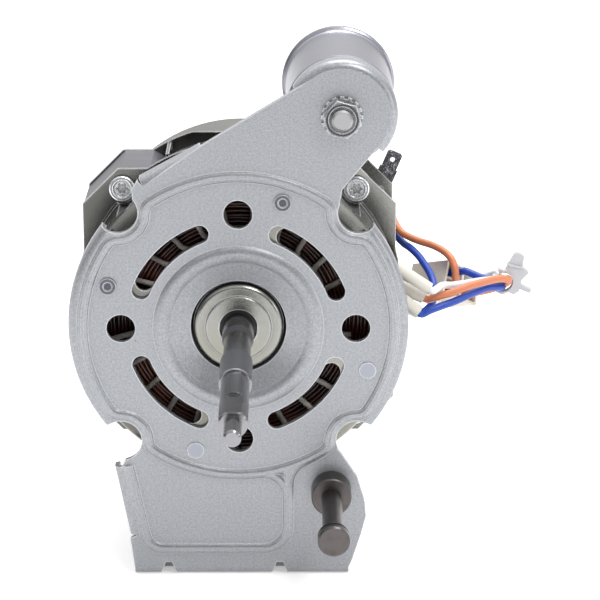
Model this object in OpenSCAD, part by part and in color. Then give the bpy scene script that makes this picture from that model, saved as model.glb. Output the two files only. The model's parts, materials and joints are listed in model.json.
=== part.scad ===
// Induction motor of a tumble dryer on its pressed mounting plate, with run capacitor,
// belt tensioner pin, bare stepped shaft and a short wiring loop.
// Millimetres. Z is up, Y runs along the shaft, the drive end points to minus Y.
// The origin is on the shaft axis, in the plane of the plate's front face.

/* [Mounting plate] */
// Height of the shaft axis above the bottom of the foot
axis_h = 102.5; // [95:0.5:120]
// Thickness of the plate's sheet
plate_t = 2.0; // [1.5:0.1:2.5]
// Diameter over the turned back rim of the round part
disc_d = 131.4; // [130:0.2:134]
// Outer radius of the turned back edges
bend_r = 3.3; // [2.8:0.1:3.6]
// Depth of the turned back rim behind the front face
rim_depth = 7.0; // [5:0.5:9]
// Width of the pressed beads
bead_w = 4.8; // [4:0.1:5]
// Height of the pressed beads
bead_h = 1.0; // [0.6:0.1:1.2]
// Opening in the middle for the bearing nose
opening_d = 36.8; // [36:0.2:38]
// How far the opening's edge is dished back
dish = 2.4; // [1.5:0.1:2.6]
// Outer diameter of the bead round the opening
hub_bead_d = 65.8; // [64:0.2:68]
// Inner diameter of the bead round the opening
hub_bead_id = 52.6; // [51:0.2:54]
// Diameter of the four round holes
hole_d = 11.0; // [10:0.2:11.6]
// Pitch circle radius of the four round holes
hole_r = 45.2; // [44.6:0.1:45.6]
// Width of the four arc slots
slot_w = 7.1; // [6:0.1:8]
// Centre line radius of the arc slots
slot_r = 40.2; // [39.8:0.1:40.8]
// Radius of the four notches in the rim
notch_r = 8.0; // [7:0.1:8.4]
// Pitch circle radius of the notches
notch_pos = 65.0; // [64:0.2:66]
// Radius of the arm's round end, over its turned edge
arm_r = 21.2; // [20.6:0.1:22]
// Depth of the base flange, front to back
base_depth = 64; // [56:1:76]
// Diameter of the two fixing holes in the base flange
base_hole_d = 6.5; // [5:0.1:7.5]
// Pitch circle radius of the rivets
rivet_pos = 52.7; // [52.2:0.1:53]
// Shank diameter of the rivets
rivet_d = 5.0; // [4:0.1:5.4]

/* [Tensioner pin] */
// Position of the pin to the right of the shaft
pin_x = 36.0; // [34:0.5:37]
// Position of the pin below the shaft
pin_drop = 66.4; // [66:0.1:70]
// Diameter of the pin's boss
pin_boss_d = 15.6; // [14:0.1:17]
// Length of the pin's boss
pin_boss_l = 8.9; // [7:0.1:11]
// Diameter of the running neck
pin_neck_d = 7.9; // [7:0.1:9]
// Diameter of the pin's head
pin_head_d = 12.1; // [11:0.1:14]
// Distance from the plate to the end of the head
pin_l = 52.5; // [46:0.5:58]

/* [Motor case] */
// Thickness of the shields' sheet
case_t = 1.5; // [1.2:0.1:1.8]
// Outer radius of the drawn shields
cup_r = 62.0; // [61.4:0.1:62.6]
// Radius of the shields' round flange
flange_r = 65.3; // [64.8:0.1:66]
// Depth from the front shield's face to the front of its flange
cup_depth = 34.0; // [33:0.5:36]
// Half width of the square flange and lamination stack
stack_hx = 61.8; // [61.4:0.1:62.6]
// Half height of the square flange and lamination stack
stack_hz = 54.4; // [54:0.1:55]
// Corner chamfer of the square flange and lamination stack
stack_ch = 14.2; // [13:0.2:14.6]
// Length of the lamination stack
stack_l = 30.1; // [28:0.1:32]
// Outer radius of the bearing nose
nose_r = 17.2; // [17:0.1:17.4]
// Diameter of the hole that the shaft leaves by
shaft_hole_d = 14.8; // [13.6:0.2:16]
// Turn of the shield's slots against the plate's slots
slot_turn = 4.5; // [0:0.5:6]
// Sideways position of the case screws
screw_x = 46.0; // [45.6:0.1:46.4]
// Height position of the case screws
screw_z = 46.5; // [46:0.1:46.8]
// Diameter of the case screws
screw_d = 5.0; // [4:0.1:5.2]
// Diameter of the case screws' heads
screw_head_d = 10.2; // [9:0.1:11]
// Radius of the dents that make room for the screw heads
dent_r = 6.3; // [6:0.1:6.6]

/* [Stator and rotor] */
// Number of slots in the stator
slots = 24; // [20:2:24]
// Radius of the stator's bore
bore_r = 31.75; // [31.6:0.05:31.9]
// Air gap between rotor and stator
air_gap = 0.35; // [0.25:0.05:0.5]
// Inner radius of the winding's slots
coil_r1 = 34.2; // [34:0.1:34.6]
// Outer radius of the winding's slots
coil_r2 = 46.0; // [44:0.2:46.4]
// Width of one slot's copper
coil_w = 5.0; // [4.4:0.1:5.2]
// Inner radius of the end windings
wind_r1 = 34.0; // [33.8:0.1:34.4]
// Outer radius of the end windings
wind_r2 = 54.0; // [53:0.2:54.4]
// Length of the end windings along the shaft
wind_l = 18.0; // [16:0.5:18.5]
// Distance from the stack to the end winding
wind_gap = 6.5; // [6:0.1:7]
// Number of winding turns that show at the front
front_turns = 5; // [3:1:5]
// Diameter of one turn's strand
strand_d = 2.6; // [2:0.1:2.7]
// Number of lacing loops, one between each pair of slots
lacing_loops = 24; // [20:2:24]
// Diameter of the lacing
lacing_d = 2.2; // [1.6:0.1:2.3]
// Number of bars in the rotor's cage
bars = 28; // [18:2:30]
// Diameter of a cage bar
bar_d = 4.2; // [3:0.1:4.4]
// Radius of the bars' circle
bar_r = 27.4; // [26:0.1:27.8]

/* [Shaft and bearings] */
// Diameter of the bearing seats, and of the belt seat
shaft_d = 12.0; // [11.6:0.1:12.2]
// Diameter of the drive end
drive_d = 10.3; // [9.6:0.1:10.8]
// Diameter of the waist behind the belt seat
waist_d = 10.2; // [9:0.1:11]
// Diameter of the end stub
stub_d = 6.2; // [5:0.1:7]
// Distance from the plate to the drive end's tip
shaft_front = 121.3; // [118:0.5:130]
// Length of the end stub
stub_l = 14.0; // [10:0.5:16]
// Length of the flat on the drive end
flat_l = 19.0; // [12:0.5:24]
// Depth of the flat
flat_depth = 0.9; // [0.5:0.1:1.4]
// Distance from the plate to the front of the belt seat
belt_seat_y = 65.5; // [62:0.5:70]
// Width of the belt seat
belt_seat_w = 23.0; // [18:0.5:28]
// Length of the rear shaft end behind the rear shield
rear_stub_l = 22; // [16:0.5:30]
// Diameter of the rear shaft end
rear_stub_d = 10.0; // [8:0.1:11]
// Outer diameter of the ball bearings
brg_od = 32.0; // [31.6:0.1:32]
// Width of the ball bearings
brg_w = 10.0; // [9:0.1:10]
// Diameter of a bearing ball
ball_d = 5.9; // [5.6:0.1:6]
// Number of balls in a bearing
balls = 7; // [6:1:8]
// Diameter of the rotor's seat on the shaft
core_seat_d = 16.0; // [15:0.2:18]

/* [Capacitor] */
// Position of the capacitor to the right of the shaft
cap_x = 39.2; // [38:0.2:41]
// Height of the capacitor above the shaft
cap_z = 83.2; // [82.6:0.2:84.6]
// Diameter of the capacitor's can
can_d = 42.0; // [40:0.5:43]
// Diameter of the rolled rim
can_rim_d = 45.0; // [44:0.5:46]
// Length of the can behind the plate
can_l = 64.0; // [60:0.5:68]
// Diameter of the mounting stud
stud_d = 8.0; // [6:0.5:8]
// Distance from the plate to the end of the stud
stud_l = 8.0; // [7.6:0.1:10]
// Width across flats of the nut
nut_af = 13.0; // [12:0.5:14]
// Outer diameter of the toothed washer
washer_d = 16.2; // [15:0.2:18]
// Number of teeth on the washer
teeth = 16; // [12:1:20]

/* [Wiring] */
// Outer diameter of a wire
wire_d = 3.0; // [2.4:0.1:3.0]
// Outer diameter of a lead sleeve
sleeve_d = 5.0; // [4.6:0.1:5.2]
// Width of the connector housing
conn_w = 18.8; // [18:0.2:20]
// Length of the connector housing along its openings
conn_l = 21.8; // [20:0.2:23]
// Height of the connector housing
conn_h = 13.8; // [13:0.2:15]
// Width of the earth tab
tab_w = 6.3; // [5.8:0.1:6.6]
// Length of the earth tab in front of its shoulders
tab_l = 7.9; // [7:0.1:9]

/* [Fits] */
// Radial clearance of running fits
run_gap = 0.05; // [0.03:0.01:0.08]
// Radial clearance of pressed and seated pieces
seat_gap = 0.02; // [0.01:0.01:0.04]
// Radial clearance of screws and rivets in their holes
hole_gap = 0.1; // [0.05:0.05:0.2]
// Clearance round windings and loose pieces
soft_gap = 0.3; // [0.25:0.05:0.4]

/* [Hidden] */

$fn = 72;
step = 0.02;                           // where a bend starts behind the flat it meets
face_y = plate_t;                      // front of the front shield's face
fl_y = face_y + cup_depth;             // front of the front flange
stack_y1 = fl_y + case_t;
stack_y2 = stack_y1 + stack_l;
mid_y = (stack_y1 + stack_y2) / 2;
rotor_r = bore_r - air_gap;
flat_r = disc_d / 2 - bend_r;          // where the plate's bend starts
land_r = flat_r - bead_w / 2;          // centre line of the ring bead
nose_y = 0.2;                          // front of the bearing nose
pocket_y = nose_y + 1 + case_t;        // floor of the bearing pocket
brg_y = pocket_y + 0.1;
arm_flat = arm_r - bend_r;
slot_a1 = 111.4;
slot_a2 = 157.6;
wf_y2 = stack_y1 - wind_gap;           // back of the front end winding
wf_y1 = wf_y2 - wind_l;
ball_c = (shaft_d + brg_od) / 4;       // radius of the balls' circle
exit_a = 9.5;                          // where the leads leave the front shield
exit_y = 21.5;
exit_r = cup_r + 2.5;
pin_z = -pin_drop;
rear_cup_r = cup_r - 1.2;
rear_flange_r = flange_r - 0.4;

function arc(c, r, a0, a1, n = 6) =
    [for (i = [0:n]) c + r * [cos(a0 + (a1 - a0) * i / n), sin(a0 + (a1 - a0) * i / n)]];
function unit(v) = v / norm(v);

// A drawing in the front view, x right and y up, made into sheet from y0 back to y1
module sheet(y0, y1) {
    translate([0, y1, 0]) rotate([90, 0, 0]) linear_extrude(y1 - y0) children();
}
// A profile of radius and y, turned round an axis at x, z between two front view angles
module turned(x = 0, z = 0, a0 = 0, a1 = 360) {
    translate([x, 0, z]) rotate([-90, 0, 0]) rotate([0, 0, -a1])
        rotate_extrude(angle = a1 - a0) children();
}
module rod(x, z, d, y0, y1, d2 = -1) {
    translate([x, y0, z]) rotate([-90, 0, 0])
        cylinder(d1 = d, d2 = d2 < 0 ? d : d2, h = y1 - y0);
}
module arc_slot(r, w, a0, a1, y0, y1) {
    turned(a0 = a0, a1 = a1) translate([r - w / 2 + step, y0]) square([w - 2 * step, y1 - y0]);
    for (a = [a0, a1]) rod(r * cos(a), r * sin(a), w, y0, y1);
}
// Section of a pressed bead, a low round crown of width w and height h
module crown(w, h) {
    rad = (w * w / 4 + h * h) / (2 * h);
    intersection() {
        translate([0, rad - h]) circle(r = rad, $fn = 96);
        translate([-w / 2, -h]) square([w, h + 0.4]);
    }
}
// A section carried along a straight line in the front view, its x to the right of travel
module along(p, q) {
    d = q - p;
    translate([p[0], 0, p[1]]) rotate([0, 90 - atan2(d[1], d[0]), 0])
        linear_extrude(norm(d)) children();
}
// A pressed bead along a path of front view points, sunk into the sheet behind y = 0
module bead(p, w, h, closed = false) {
    m = len(p);
    sec = [[-w / 2 - 0.3, 0.4], [-0.36 * w, -0.55 * h], [-0.13 * w, -0.95 * h],
        [0.13 * w, -0.95 * h], [0.36 * w, -0.55 * h], [w / 2 + 0.3, 0.4]];
    n = len(sec);
    pts = [for (i = [0:m - 1]) let (a = closed ? p[(i + m - 1) % m] : p[max(i - 1, 0)],
            b = closed ? p[(i + 1) % m] : p[min(i + 1, m - 1)], t = (b - a) / norm(b - a))
        for (q = sec) [p[i][0] + t[1] * q[0], q[1], p[i][1] - t[0] * q[0]]];
    sides = [for (i = [0:m - (closed ? 1 : 2)]) for (k = [0:n - 1])
        let (a = i * n + k, b = i * n + (k + 1) % n, c = ((i + 1) % m) * n + k,
            e = ((i + 1) % m) * n + (k + 1) % n) each [[a, b, e], [a, e, c]]];
    caps = closed ? [] : concat([for (k = [1:n - 2]) [0, k + 1, k]],
        [for (k = [1:n - 2]) [(m - 1) * n, (m - 1) * n + k, (m - 1) * n + k + 1]]);
    polyhedron(points = pts, faces = [for (f = concat(sides, caps)) [f[0], f[2], f[1]]],
        convexity = 10);
}
// Section of a turned back edge: a quarter bend and a lip, its outside at x = 0
module lip_section(depth) {
    translate([0, step]) {
        difference() {
            translate([-bend_r, bend_r]) circle(r = bend_r, $fn = 96);
            translate([-bend_r, bend_r]) circle(r = bend_r - plate_t, $fn = 96);
            translate([-3 * bend_r, -bend_r]) square([2 * bend_r, 4 * bend_r]);
            translate([-2 * bend_r, bend_r]) square([3 * bend_r, 2 * bend_r]);
        }
        translate([-plate_t, bend_r]) square([plate_t, depth - bend_r]);
    }
}

// A tube along points, with sides n; the points are in x, y, height above the shaft
function tang(p, i) = unit(p[min(i + 1, len(p) - 1)] - p[max(i - 1, 0)]);
function side_on(v, t) = unit(v - (v * t) * t);
function norms(p) = [for (i = 0, n = side_on([0.05, 0.99, 0.13], tang(p, 0)); i < len(p);
    i = i + 1, n = side_on(n, tang(p, min(i, len(p) - 1)))) n];
module tube(p, d, n = 8) {
    m = len(p);
    nn = norms(p);
    pts = [for (i = [0:m - 1]) for (k = [0:n - 1])
        let (t = tang(p, i), b = cross(t, nn[i]), a = 360 * k / n)
        p[i] + d / 2 * (cos(a) * nn[i] + sin(a) * b)];
    sides = [for (i = [0:m - 2]) for (k = [0:n - 1])
        let (a = i * n + k, b = i * n + (k + 1) % n) each [[a, b, b + n], [a, b + n, a + n]]];
    cap0 = [for (k = [1:n - 2]) [0, k + 1, k]];
    cap1 = [for (k = [1:n - 2]) [(m - 1) * n, (m - 1) * n + k, (m - 1) * n + k + 1]];
    polyhedron(points = pts,
        faces = [for (f = concat(sides, cap0, cap1)) [f[0], f[2], f[1]]], convexity = 10);
}

// ---- Mounting plate ----
arm_c = [cap_x, cap_z];
arm_a1 = 121.9;                        // left edge leaves the round end here
arm_a2 = -39;                          // right edge leaves the round end here
arm_p1 = arm_c + (arm_flat + 0.2) * [cos(arm_a1), sin(arm_a1)];
arm_p2 = arm_c + (arm_flat + 0.2) * [cos(arm_a2), sin(arm_a2)];
over = 0.3;                            // how far flat sheet runs into a bend
foot_l = [[-48.9, -57.4], [-43.2, -86]];
foot_n = [0.981, 0.195] * (bend_r - over);
arm_lip = [[-14.4, 71.6], [-37.4, 58.9]];
arm_ln = [0.484, -0.875] * (bend_r - over);
foot_z = bend_r - axis_h - over;
foot_x1 = -41.6;
foot_x2 = 43.2;
dart_x = [-28.1, 15.9];
r_hub = 33.5;                          // the hub is turned inside this radius

module slot_2d(r, w, a0, a1) {
    difference() {
        circle(r = r + w / 2 - step, $fn = 144);
        circle(r = r - w / 2 + step, $fn = 144);
        rotate(a0 - 180) translate([-80, 0]) square([160, 80]);
        rotate(a1) translate([-80, 0]) square([160, 80]);
    }
    for (a = [a0, a1]) translate(r * [cos(a), sin(a)]) circle(d = w);
}
module plate_flat() {
    difference() {
        union() {
            circle(r = flat_r + over, $fn = 144);
            translate(arm_c) circle(r = arm_flat + over, $fn = 96);
            // the arm's edge runs into its lip slantwise, so that the bend starts from nothing
            polygon([arm_p1, arm_lip[0] + [0.5, 0.3], arm_lip[1] + arm_ln, arm_lip[1] - [0.5, 0.3],
                [-40.1, 55], [-39.8, 50], [0, 0], [38.2, 48], [39.6, 55.1], arm_p2, arm_c]);
            polygon([[-44.2, -53.2], foot_l[0] + foot_n, foot_l[1] + foot_n, [-43.2, -87.2],
                [foot_x1, foot_z], [foot_x2, foot_z], [44.6, -96], [48, -85], [49.9, -77.5],
                [49.3, -71], [46.4, -61.2], [40.2, -51.7], [30, -40], [0, -30], [-30, -40]]);
        }
        circle(r = r_hub, $fn = 144);
        for (a = [0, 90, 180, 270]) {
            translate(hole_r * [cos(a), sin(a)]) circle(d = hole_d);
            slot_2d(slot_r, slot_w, slot_a1 + a, slot_a2 + a);
            translate(rivet_pos * [cos(a + 71.2), sin(a + 71.2)]) circle(d = rivet_d + 2 * hole_gap);
        }
        translate([pin_x, pin_z]) circle(d = pin_neck_d + 2 * run_gap);
        translate(arm_c) circle(d = stud_d + 2 * hole_gap);
    }
}
// Section of the hub: flat, bead, and the dished edge of the middle opening
module hub_section() {
    r1 = hub_bead_id / 2; r2 = hub_bead_d / 2; ro = opening_d / 2;
    polygon([[ro, dish], [r1 + 0.1, 0], [r_hub, 0], [r_hub, plate_t], [r1 + 0.5, plate_t],
        [ro, dish + plate_t - 0.2]]);
    translate([(r1 + r2) / 2, 0]) crown(r2 - r1, bead_h + 0.1);
}
// The ring bead runs round the four notches on rounded corners of radius f
notch_b = notch_r + 2.65;
function corner_angle(r, c, n, f) = acos((c * c + (r - f) * (r - f) - (n + f) * (n + f))
    / (2 * c * (r - f)));
function turn_all(p, a) = [for (q = p) [q[0] * cos(a) - q[1] * sin(a), q[0] * sin(a) + q[1] * cos(a)]];
function ring_path() = let (f = 5, da = corner_angle(land_r, notch_pos, notch_b, f),
    q = (land_r - f) * [cos(da), sin(da)], na = atan2(q[1], notch_pos - q[0]),
    one = concat(arc([notch_pos, 0], notch_b, 180 + na, 180 - na, 9),
        [for (i = [1:4]) q + f * [cos(-na + (da + na) * i / 4), sin(-na + (da + na) * i / 4)]],
        [for (i = [1:19]) land_r * [cos(da + (90 - 2 * da) * i / 19), sin(da + (90 - 2 * da) * i / 19)]],
        [for (i = [1:3]) let (a = 90 - da + (na + da) * i / 4) [q[1], q[0]] + f * [cos(a), sin(a)]]))
    [for (k = [0:3]) each turn_all(one, 45 + 90 * k)];
panel_x = 19.15;                       // right side of the foot's panel bead
function panel_path() = concat([[-43.3, -56.4], [-40.3, -70.8]],
    arc([-30.0, -83.9], 7.4, 191.8, 270, 7), [[-10, -91.3]],
    arc([panel_x - 9.5, -81.8], 9.5, 270, 360, 8), [[panel_x, -70], [panel_x, -57.4]]);
// Rounds of radius r that lead the panel bead's right side into the ring bead, to the side s
function joint_path(r, s) = let (cx = panel_x + s * r, cz = -sqrt((land_r + r) * (land_r + r) - cx * cx))
    arc([cx, cz], r, s > 0 ? 180 : 0, atan2(-cz, -cx), 6);

module mounting_plate() {
    color([0.70, 0.72, 0.76]) {
        difference() {
            union() {
                sheet(0, plate_t) plate_flat();
                // turned back rim of the round part
                turned(a0 = 140, a1 = 220) translate([disc_d / 2, 0]) lip_section(rim_depth);
                turned(a0 = -40, a1 = 40) translate([disc_d / 2, 0]) lip_section(rim_depth);
                // turned back edge of the arm's round end
                turned(cap_x, cap_z, -42, 150) translate([arm_r, 0]) lip_section(rim_depth);
                // turned back left edge of the foot
                along(foot_l[0], foot_l[1]) lip_section(rim_depth);
                // turned back left edge of the arm
                along(arm_lip[0], arm_lip[1]) lip_section(rim_depth);
                // base flange with its bend
                translate([foot_x1, 0, -axis_h]) rotate([90, 0, 90])
                    linear_extrude(foot_x2 - foot_x1) base_section();
                // pressed gussets across the base bend
                for (x = dart_x) translate([x - 4.6, 0, -axis_h]) rotate([90, 0, 90]) linear_extrude(9.2)
                    polygon([[1, 5], [1, 9.5], [2, 10.2], [13, 1.8], [13, 1], [7, 1]]);
            }
            for (a = [45, 135, 225, 315])
                rod(notch_pos * cos(a), notch_pos * sin(a), 2 * notch_r, -5, 20);
            for (x = dart_x) intersection() {
                translate([x, 20, -axis_h]) rotate([90, 0, 0]) linear_extrude(25)
                    polygon([[-3.6, -1], [3.6, -1], [1.2, 5.4], [-1.2, 5.4]]);
                translate([x - 5, 0, -axis_h]) rotate([90, 0, 90]) linear_extrude(10)
                    polygon([[-1, 6.7], [0, 5.9], [8.2, -0.2], [8.2, -2], [-1, -2]]);
            }
            for (x = [-28, 30]) translate([x, base_depth - 20, -axis_h - 1])
                cylinder(d = base_hole_d, h = 8);
        }
        turned() hub_section();
        bead(ring_path(), bead_w - 0.4, bead_h, true);
        bead(panel_path(), bead_w - 0.3, bead_h - 0.12);
        bead(joint_path(10.2, -1), bead_w - 0.4, bead_h - 0.2);
        bead(joint_path(11.3, 1), bead_w - 0.4, bead_h - 0.2);
    }
}
// Section of the bend from the front wall to the base flange, in y and z
module base_section() {
    translate([step, step]) difference() {
        translate([bend_r, bend_r]) circle(r = bend_r, $fn = 96);
        translate([bend_r, bend_r]) circle(r = bend_r - plate_t, $fn = 96);
        translate([bend_r, -bend_r]) square([2 * bend_r, 4 * bend_r]);
        translate([-bend_r, bend_r]) square([4 * bend_r, 2 * bend_r]);
    }
    translate([bend_r - over, 0]) square([base_depth - bend_r + over, plate_t]);
}
module plate_rivets() {
    color([0.72, 0.74, 0.78]) for (i = [0:3]) {
        a = 71.2 + 90 * i;
        x = rivet_pos * cos(a); z = rivet_pos * sin(a);
        formed = i < 2;
        rod(x, z, rivet_d, -0.2, face_y + case_t + 0.2);
        difference() {
            rod(x, z, rivet_d + 1.7, formed ? -0.9 : -0.45, 0);
            if (formed) rod(x, z, rivet_d - 1.6, -1.5, -0.5);
        }
        rod(x, z, rivet_d + 1.3, face_y + case_t, face_y + case_t + 1.1);
    }
}
module tensioner_pin() {
    r1 = pin_head_d / 2; rn = pin_neck_d / 2; rb = pin_boss_d / 2;
    color([0.34, 0.33, 0.33]) turned(pin_x, pin_z) polygon([
        [0, -pin_l], [r1 - 0.7, -pin_l], [r1, -pin_l + 0.6], [r1, -pin_l + 3.0],
        [r1 - 1.2, -pin_l + 3.0], [r1 - 1.2, -pin_l + 3.9], [r1, -pin_l + 3.9],
        [r1, -pin_l + 4.7], [rn, -pin_l + 4.7], [rn, -pin_boss_l], [rb - 0.5, -pin_boss_l],
        [rb, -pin_boss_l + 0.5], [rb, 0], [rn, 0], [rn, plate_t],
        [rn + 1.8, plate_t], [rn + 1.3, plate_t + 1.4], [0, plate_t + 1.4]]);
}

// ---- Motor case ----
module case_outline() {
    polygon([[-stack_hx, -stack_hz + stack_ch], [-stack_hx + stack_ch, -stack_hz],
        [stack_hx - stack_ch, -stack_hz], [stack_hx, -stack_hz + stack_ch],
        [stack_hx, stack_hz - stack_ch], [stack_hx - stack_ch, stack_hz],
        [-stack_hx + stack_ch, stack_hz], [-stack_hx, stack_hz - stack_ch]]);
}
// The laminations' outline, recessed along the top and cut back at the corners
module stack_outline() {
    c1 = stack_ch + 1.2; c2 = stack_ch + 6.6;
    polygon([[-stack_hx, -stack_hz + stack_ch], [-stack_hx + stack_ch, -stack_hz],
        [stack_hx - stack_ch, -stack_hz], [stack_hx, -stack_hz + stack_ch],
        [stack_hx, stack_hz - c2], [stack_hx - c2, stack_hz], [35, stack_hz],
        [30.2, stack_hz - 2.7], [-30.2, stack_hz - 2.7], [-35, stack_hz],
        [-stack_hx + c1, stack_hz], [-stack_hx, stack_hz - c1]]);
}
function shield_outer(cr, fr) = concat(
    [[shaft_hole_d / 2, nose_y]], arc([11.9, nose_y + 0.8], 0.8, -90, 0, 4), [[12.9, nose_y + 1]],
    arc([nose_r - 2, nose_y + 3], 2, -90, 0),
    [[nose_r, face_y + 3.6], [28, face_y]],
    arc([cr - 6, face_y + 6], 6, -90, 0, 8),
    [[cr, fl_y - 1.4], [cr + 0.4, fl_y - 0.4], [cr + 1.4, fl_y], [fr, fl_y], [fr, fl_y + case_t]]);
function shield_inner(cr) = concat(
    [[cr - case_t, fl_y + case_t], [cr - case_t, face_y + 6]],
    arc([cr - 6, face_y + 6], 6 - case_t, 0, -90, 8),
    [[28, face_y + case_t], [nose_r, face_y + 5.2], [nose_r, pocket_y + brg_w],
     [brg_od / 2 + seat_gap, pocket_y + brg_w], [brg_od / 2 + seat_gap, pocket_y],
     [shaft_hole_d / 2, pocket_y]]);
module dents(r, y0) {
    for (sx = [-1, 1]) for (sz = [-1, 1]) {
        rod(sx * screw_x, sz * screw_z, 2 * r, y0 + 6, fl_y + 0.001);
        rod(sx * screw_x, sz * screw_z, 2 * r - 7, y0, y0 + 6, 2 * r);
    }
}
// Front shield; the rear one is its mirror image, a little smaller, with its own holes
module shield_body(cr, fr) {
    difference() {
        union() {
            difference() {
                turned() polygon(concat(shield_outer(cr, fr), [[0, fl_y + case_t], [0, nose_y]]));
                dents(dent_r, face_y + 8);
            }
            difference() {
                sheet(fl_y, fl_y + case_t) union() {
                    case_outline();
                    circle(r = fr, $fn = 144);
                }
                for (sx = [-1, 1]) for (sz = [-1, 1])
                    rod(sx * screw_x, sz * screw_z, screw_d + 2 * hole_gap, 0, fl_y + 5);
            }
        }
        difference() {
            turned() polygon(concat(shield_inner(cr), [[0, pocket_y], [0, fl_y + 5],
                [cr - case_t, fl_y + 5]]));
            dents(dent_r + case_t, face_y + 8 - case_t);
            turned() polygon([[brg_od / 2 + seat_gap, pocket_y + brg_w], [nose_r, pocket_y + brg_w],
                [nose_r, face_y + 5.2], [brg_od / 2 + seat_gap, face_y + 5.2]]);
        }
        rod(0, 0, shaft_hole_d, -5, 20);
        for (sx = [-1, 1]) for (sz = [-1, 1])
            rod(sx * screw_x, sz * screw_z, screw_d + 2 * hole_gap, fl_y - 0.5, fl_y + 5);
        for (a = [0, 90, 180, 270])
            arc_slot(slot_r, slot_w, slot_a1 + a - slot_turn, slot_a2 + a - slot_turn, -1, 12);
    }
}
module front_shield() {
    color([0.62, 0.62, 0.56]) difference() {
        shield_body(cup_r, flange_r);
        for (a = [0, 90, 180, 270]) {
            rod(hole_r * cos(a), hole_r * sin(a), hole_d + 0.5, -1, 12);
            b = a + 71.2;
            rod(rivet_pos * cos(b), rivet_pos * sin(b), rivet_d + 2 * hole_gap, -1, 12);
        }
        exit_oval(cup_r - 6, cup_r + 4, 17, 8, hole_gap);
    }
}
module rear_shield() {
    color([0.62, 0.62, 0.56]) translate([0, 2 * mid_y, 0]) mirror([0, 1, 0]) {
        difference() {
            shield_body(rear_cup_r, rear_flange_r);
            rod(tab_rivet[0], tab_rivet[1], 3.2 + 2 * hole_gap, fl_y - 2, fl_y + 5);
            translate([-30, fl_y - 1, rear_cup_r + 1.1]) cube([60, case_t + 2, 10]);
        }
        // ears over the top of the laminations
        for (s = [-1, 1]) translate([s * 28.7 - 0.7, fl_y + 0.2, stack_hz + 0.2])
            cube([1.4, case_t + 20, 3]);
    }
}
// An oval across the wall where the leads leave, between two radii
module exit_oval(r0, r1, l, w, g = 0) {
    translate([0, exit_y, 0]) rotate([0, -exit_a, 0]) translate([r0, 0, 0])
        rotate([90, 0, 90]) linear_extrude(r1 - r0) union() {
            square([w + 2 * g, l - w], center = true);
            for (s = [-1, 1]) translate([0, s * (l - w) / 2]) circle(d = w + 2 * g);
        }
}
module stator_core() {
    color([0.42, 0.42, 0.46]) difference() {
        sheet(stack_y1, stack_y2) stack_outline();
        rod(0, 0, 2 * bore_r, 0, 200);
        for (sx = [-1, 1]) for (sz = [-1, 1])
            rod(sx * screw_x, sz * screw_z, screw_d + 2 * hole_gap, 0, 200);
        g = 0.6;
        for (i = [0:slots - 1]) translate([0, stack_y1 - 1, 0])
            rotate([0, (i + 0.5) * 360 / slots, 0]) {
                translate([coil_r1 - g, 0, -coil_w / 2 - g])
                    cube([coil_r2 - coil_r1 + 2 * g, stack_l + 2, coil_w + 2 * g]);
                translate([bore_r - 1, 0, -1.2]) cube([coil_r1 - bore_r + 1, stack_l + 2, 2.4]);
            }
    }
}
module slot_liners() {
    g = 0.5; t = 0.35;
    color([0.85, 0.84, 0.76]) for (i = [0:slots - 1]) translate([0, stack_y1 - 1.5, 0])
        rotate([0, (i + 0.5) * 360 / slots, 0]) difference() {
            translate([coil_r1 - g, 0, -coil_w / 2 - g])
                cube([coil_r2 - coil_r1 + 2 * g, stack_l + 3, coil_w + 2 * g]);
            translate([coil_r1 - g + t, -1, -coil_w / 2 - g + t])
                cube([coil_r2 - coil_r1 + 2 * (g - t), stack_l + 5, coil_w + 2 * (g - t)]);
        }
}
module slot_coils() {
    color([0.28, 0.12, 0.08]) for (i = [0:slots - 1]) translate([0, wf_y2, 0])
        rotate([0, (i + 0.5) * 360 / slots, 0]) translate([coil_r1, 0, -coil_w / 2])
            cube([coil_r2 - coil_r1, stack_l + 2 * wind_gap, coil_w]);
}
module end_ring(y0) {
    r = 3;
    turned() polygon(concat(arc([wind_r1 + r, y0 + r], r, 180, 270),
        arc([wind_r2 - r, y0 + r], r, 270, 360),
        arc([wind_r2 - r, y0 + wind_l - r], r, 0, 90),
        arc([wind_r1 + r, y0 + wind_l - r], r, 90, 180)));
}
// The turns that show: one strand that spirals outwards on the winding's front face
strand_pitch = (wind_r2 - wind_r1 - strand_d - 1.2) / 5.1;
strand_in = wind_r1 + strand_d / 2 + 0.6;
strand_y = wf_y1 - strand_d / 2 + 0.5;
function strand_pts() = [for (i = [0:24 * front_turns])
    let (a = 15 * i, r = strand_in + strand_pitch * i / 24)
    [r * cos(a), strand_y, r * sin(a)]];
// Lacing: one cord round the end winding, one loop in each gap between two slots
lace_y1 = strand_y - strand_d / 2 - soft_gap - lacing_d / 2;
lace_y2 = wf_y2 + soft_gap + lacing_d / 2;
function pw(v) = sign(v) * pow(abs(v), 0.25);
function lace_pts() = [for (i = [0:24 * lacing_loops - 6])
    let (t = 15 * (i % 24), k = floor(i / 24),
        adv = t < 180 ? 0 : (1 - cos(t - 180)) / 2,
        a = (k + adv) * 360 / slots,
        rc = (wind_r1 + wind_r2) / 2, rh = (wind_r2 - wind_r1) / 2 + soft_gap + lacing_d / 2,
        yc = (lace_y1 + lace_y2) / 2, yh = (lace_y2 - lace_y1) / 2,
        r = rc + rh * pw(cos(t)), y = yc + yh * pw(sin(t)))
    [r * cos(a), y, r * sin(a)]];
// Least distance between points of one cord that are more than half a loop apart
function self_gap(p, d, s = 12) = min([for (i = [0:2:len(p) - 1])
    for (j = [i + s:min(len(p) - 1, i + 40)]) norm(p[i] - p[j])]) - d;
echo(strand_self_gap = self_gap(strand_pts(), strand_d));
echo(lacing_self_gap = self_gap(lace_pts(), lacing_d));

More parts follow.
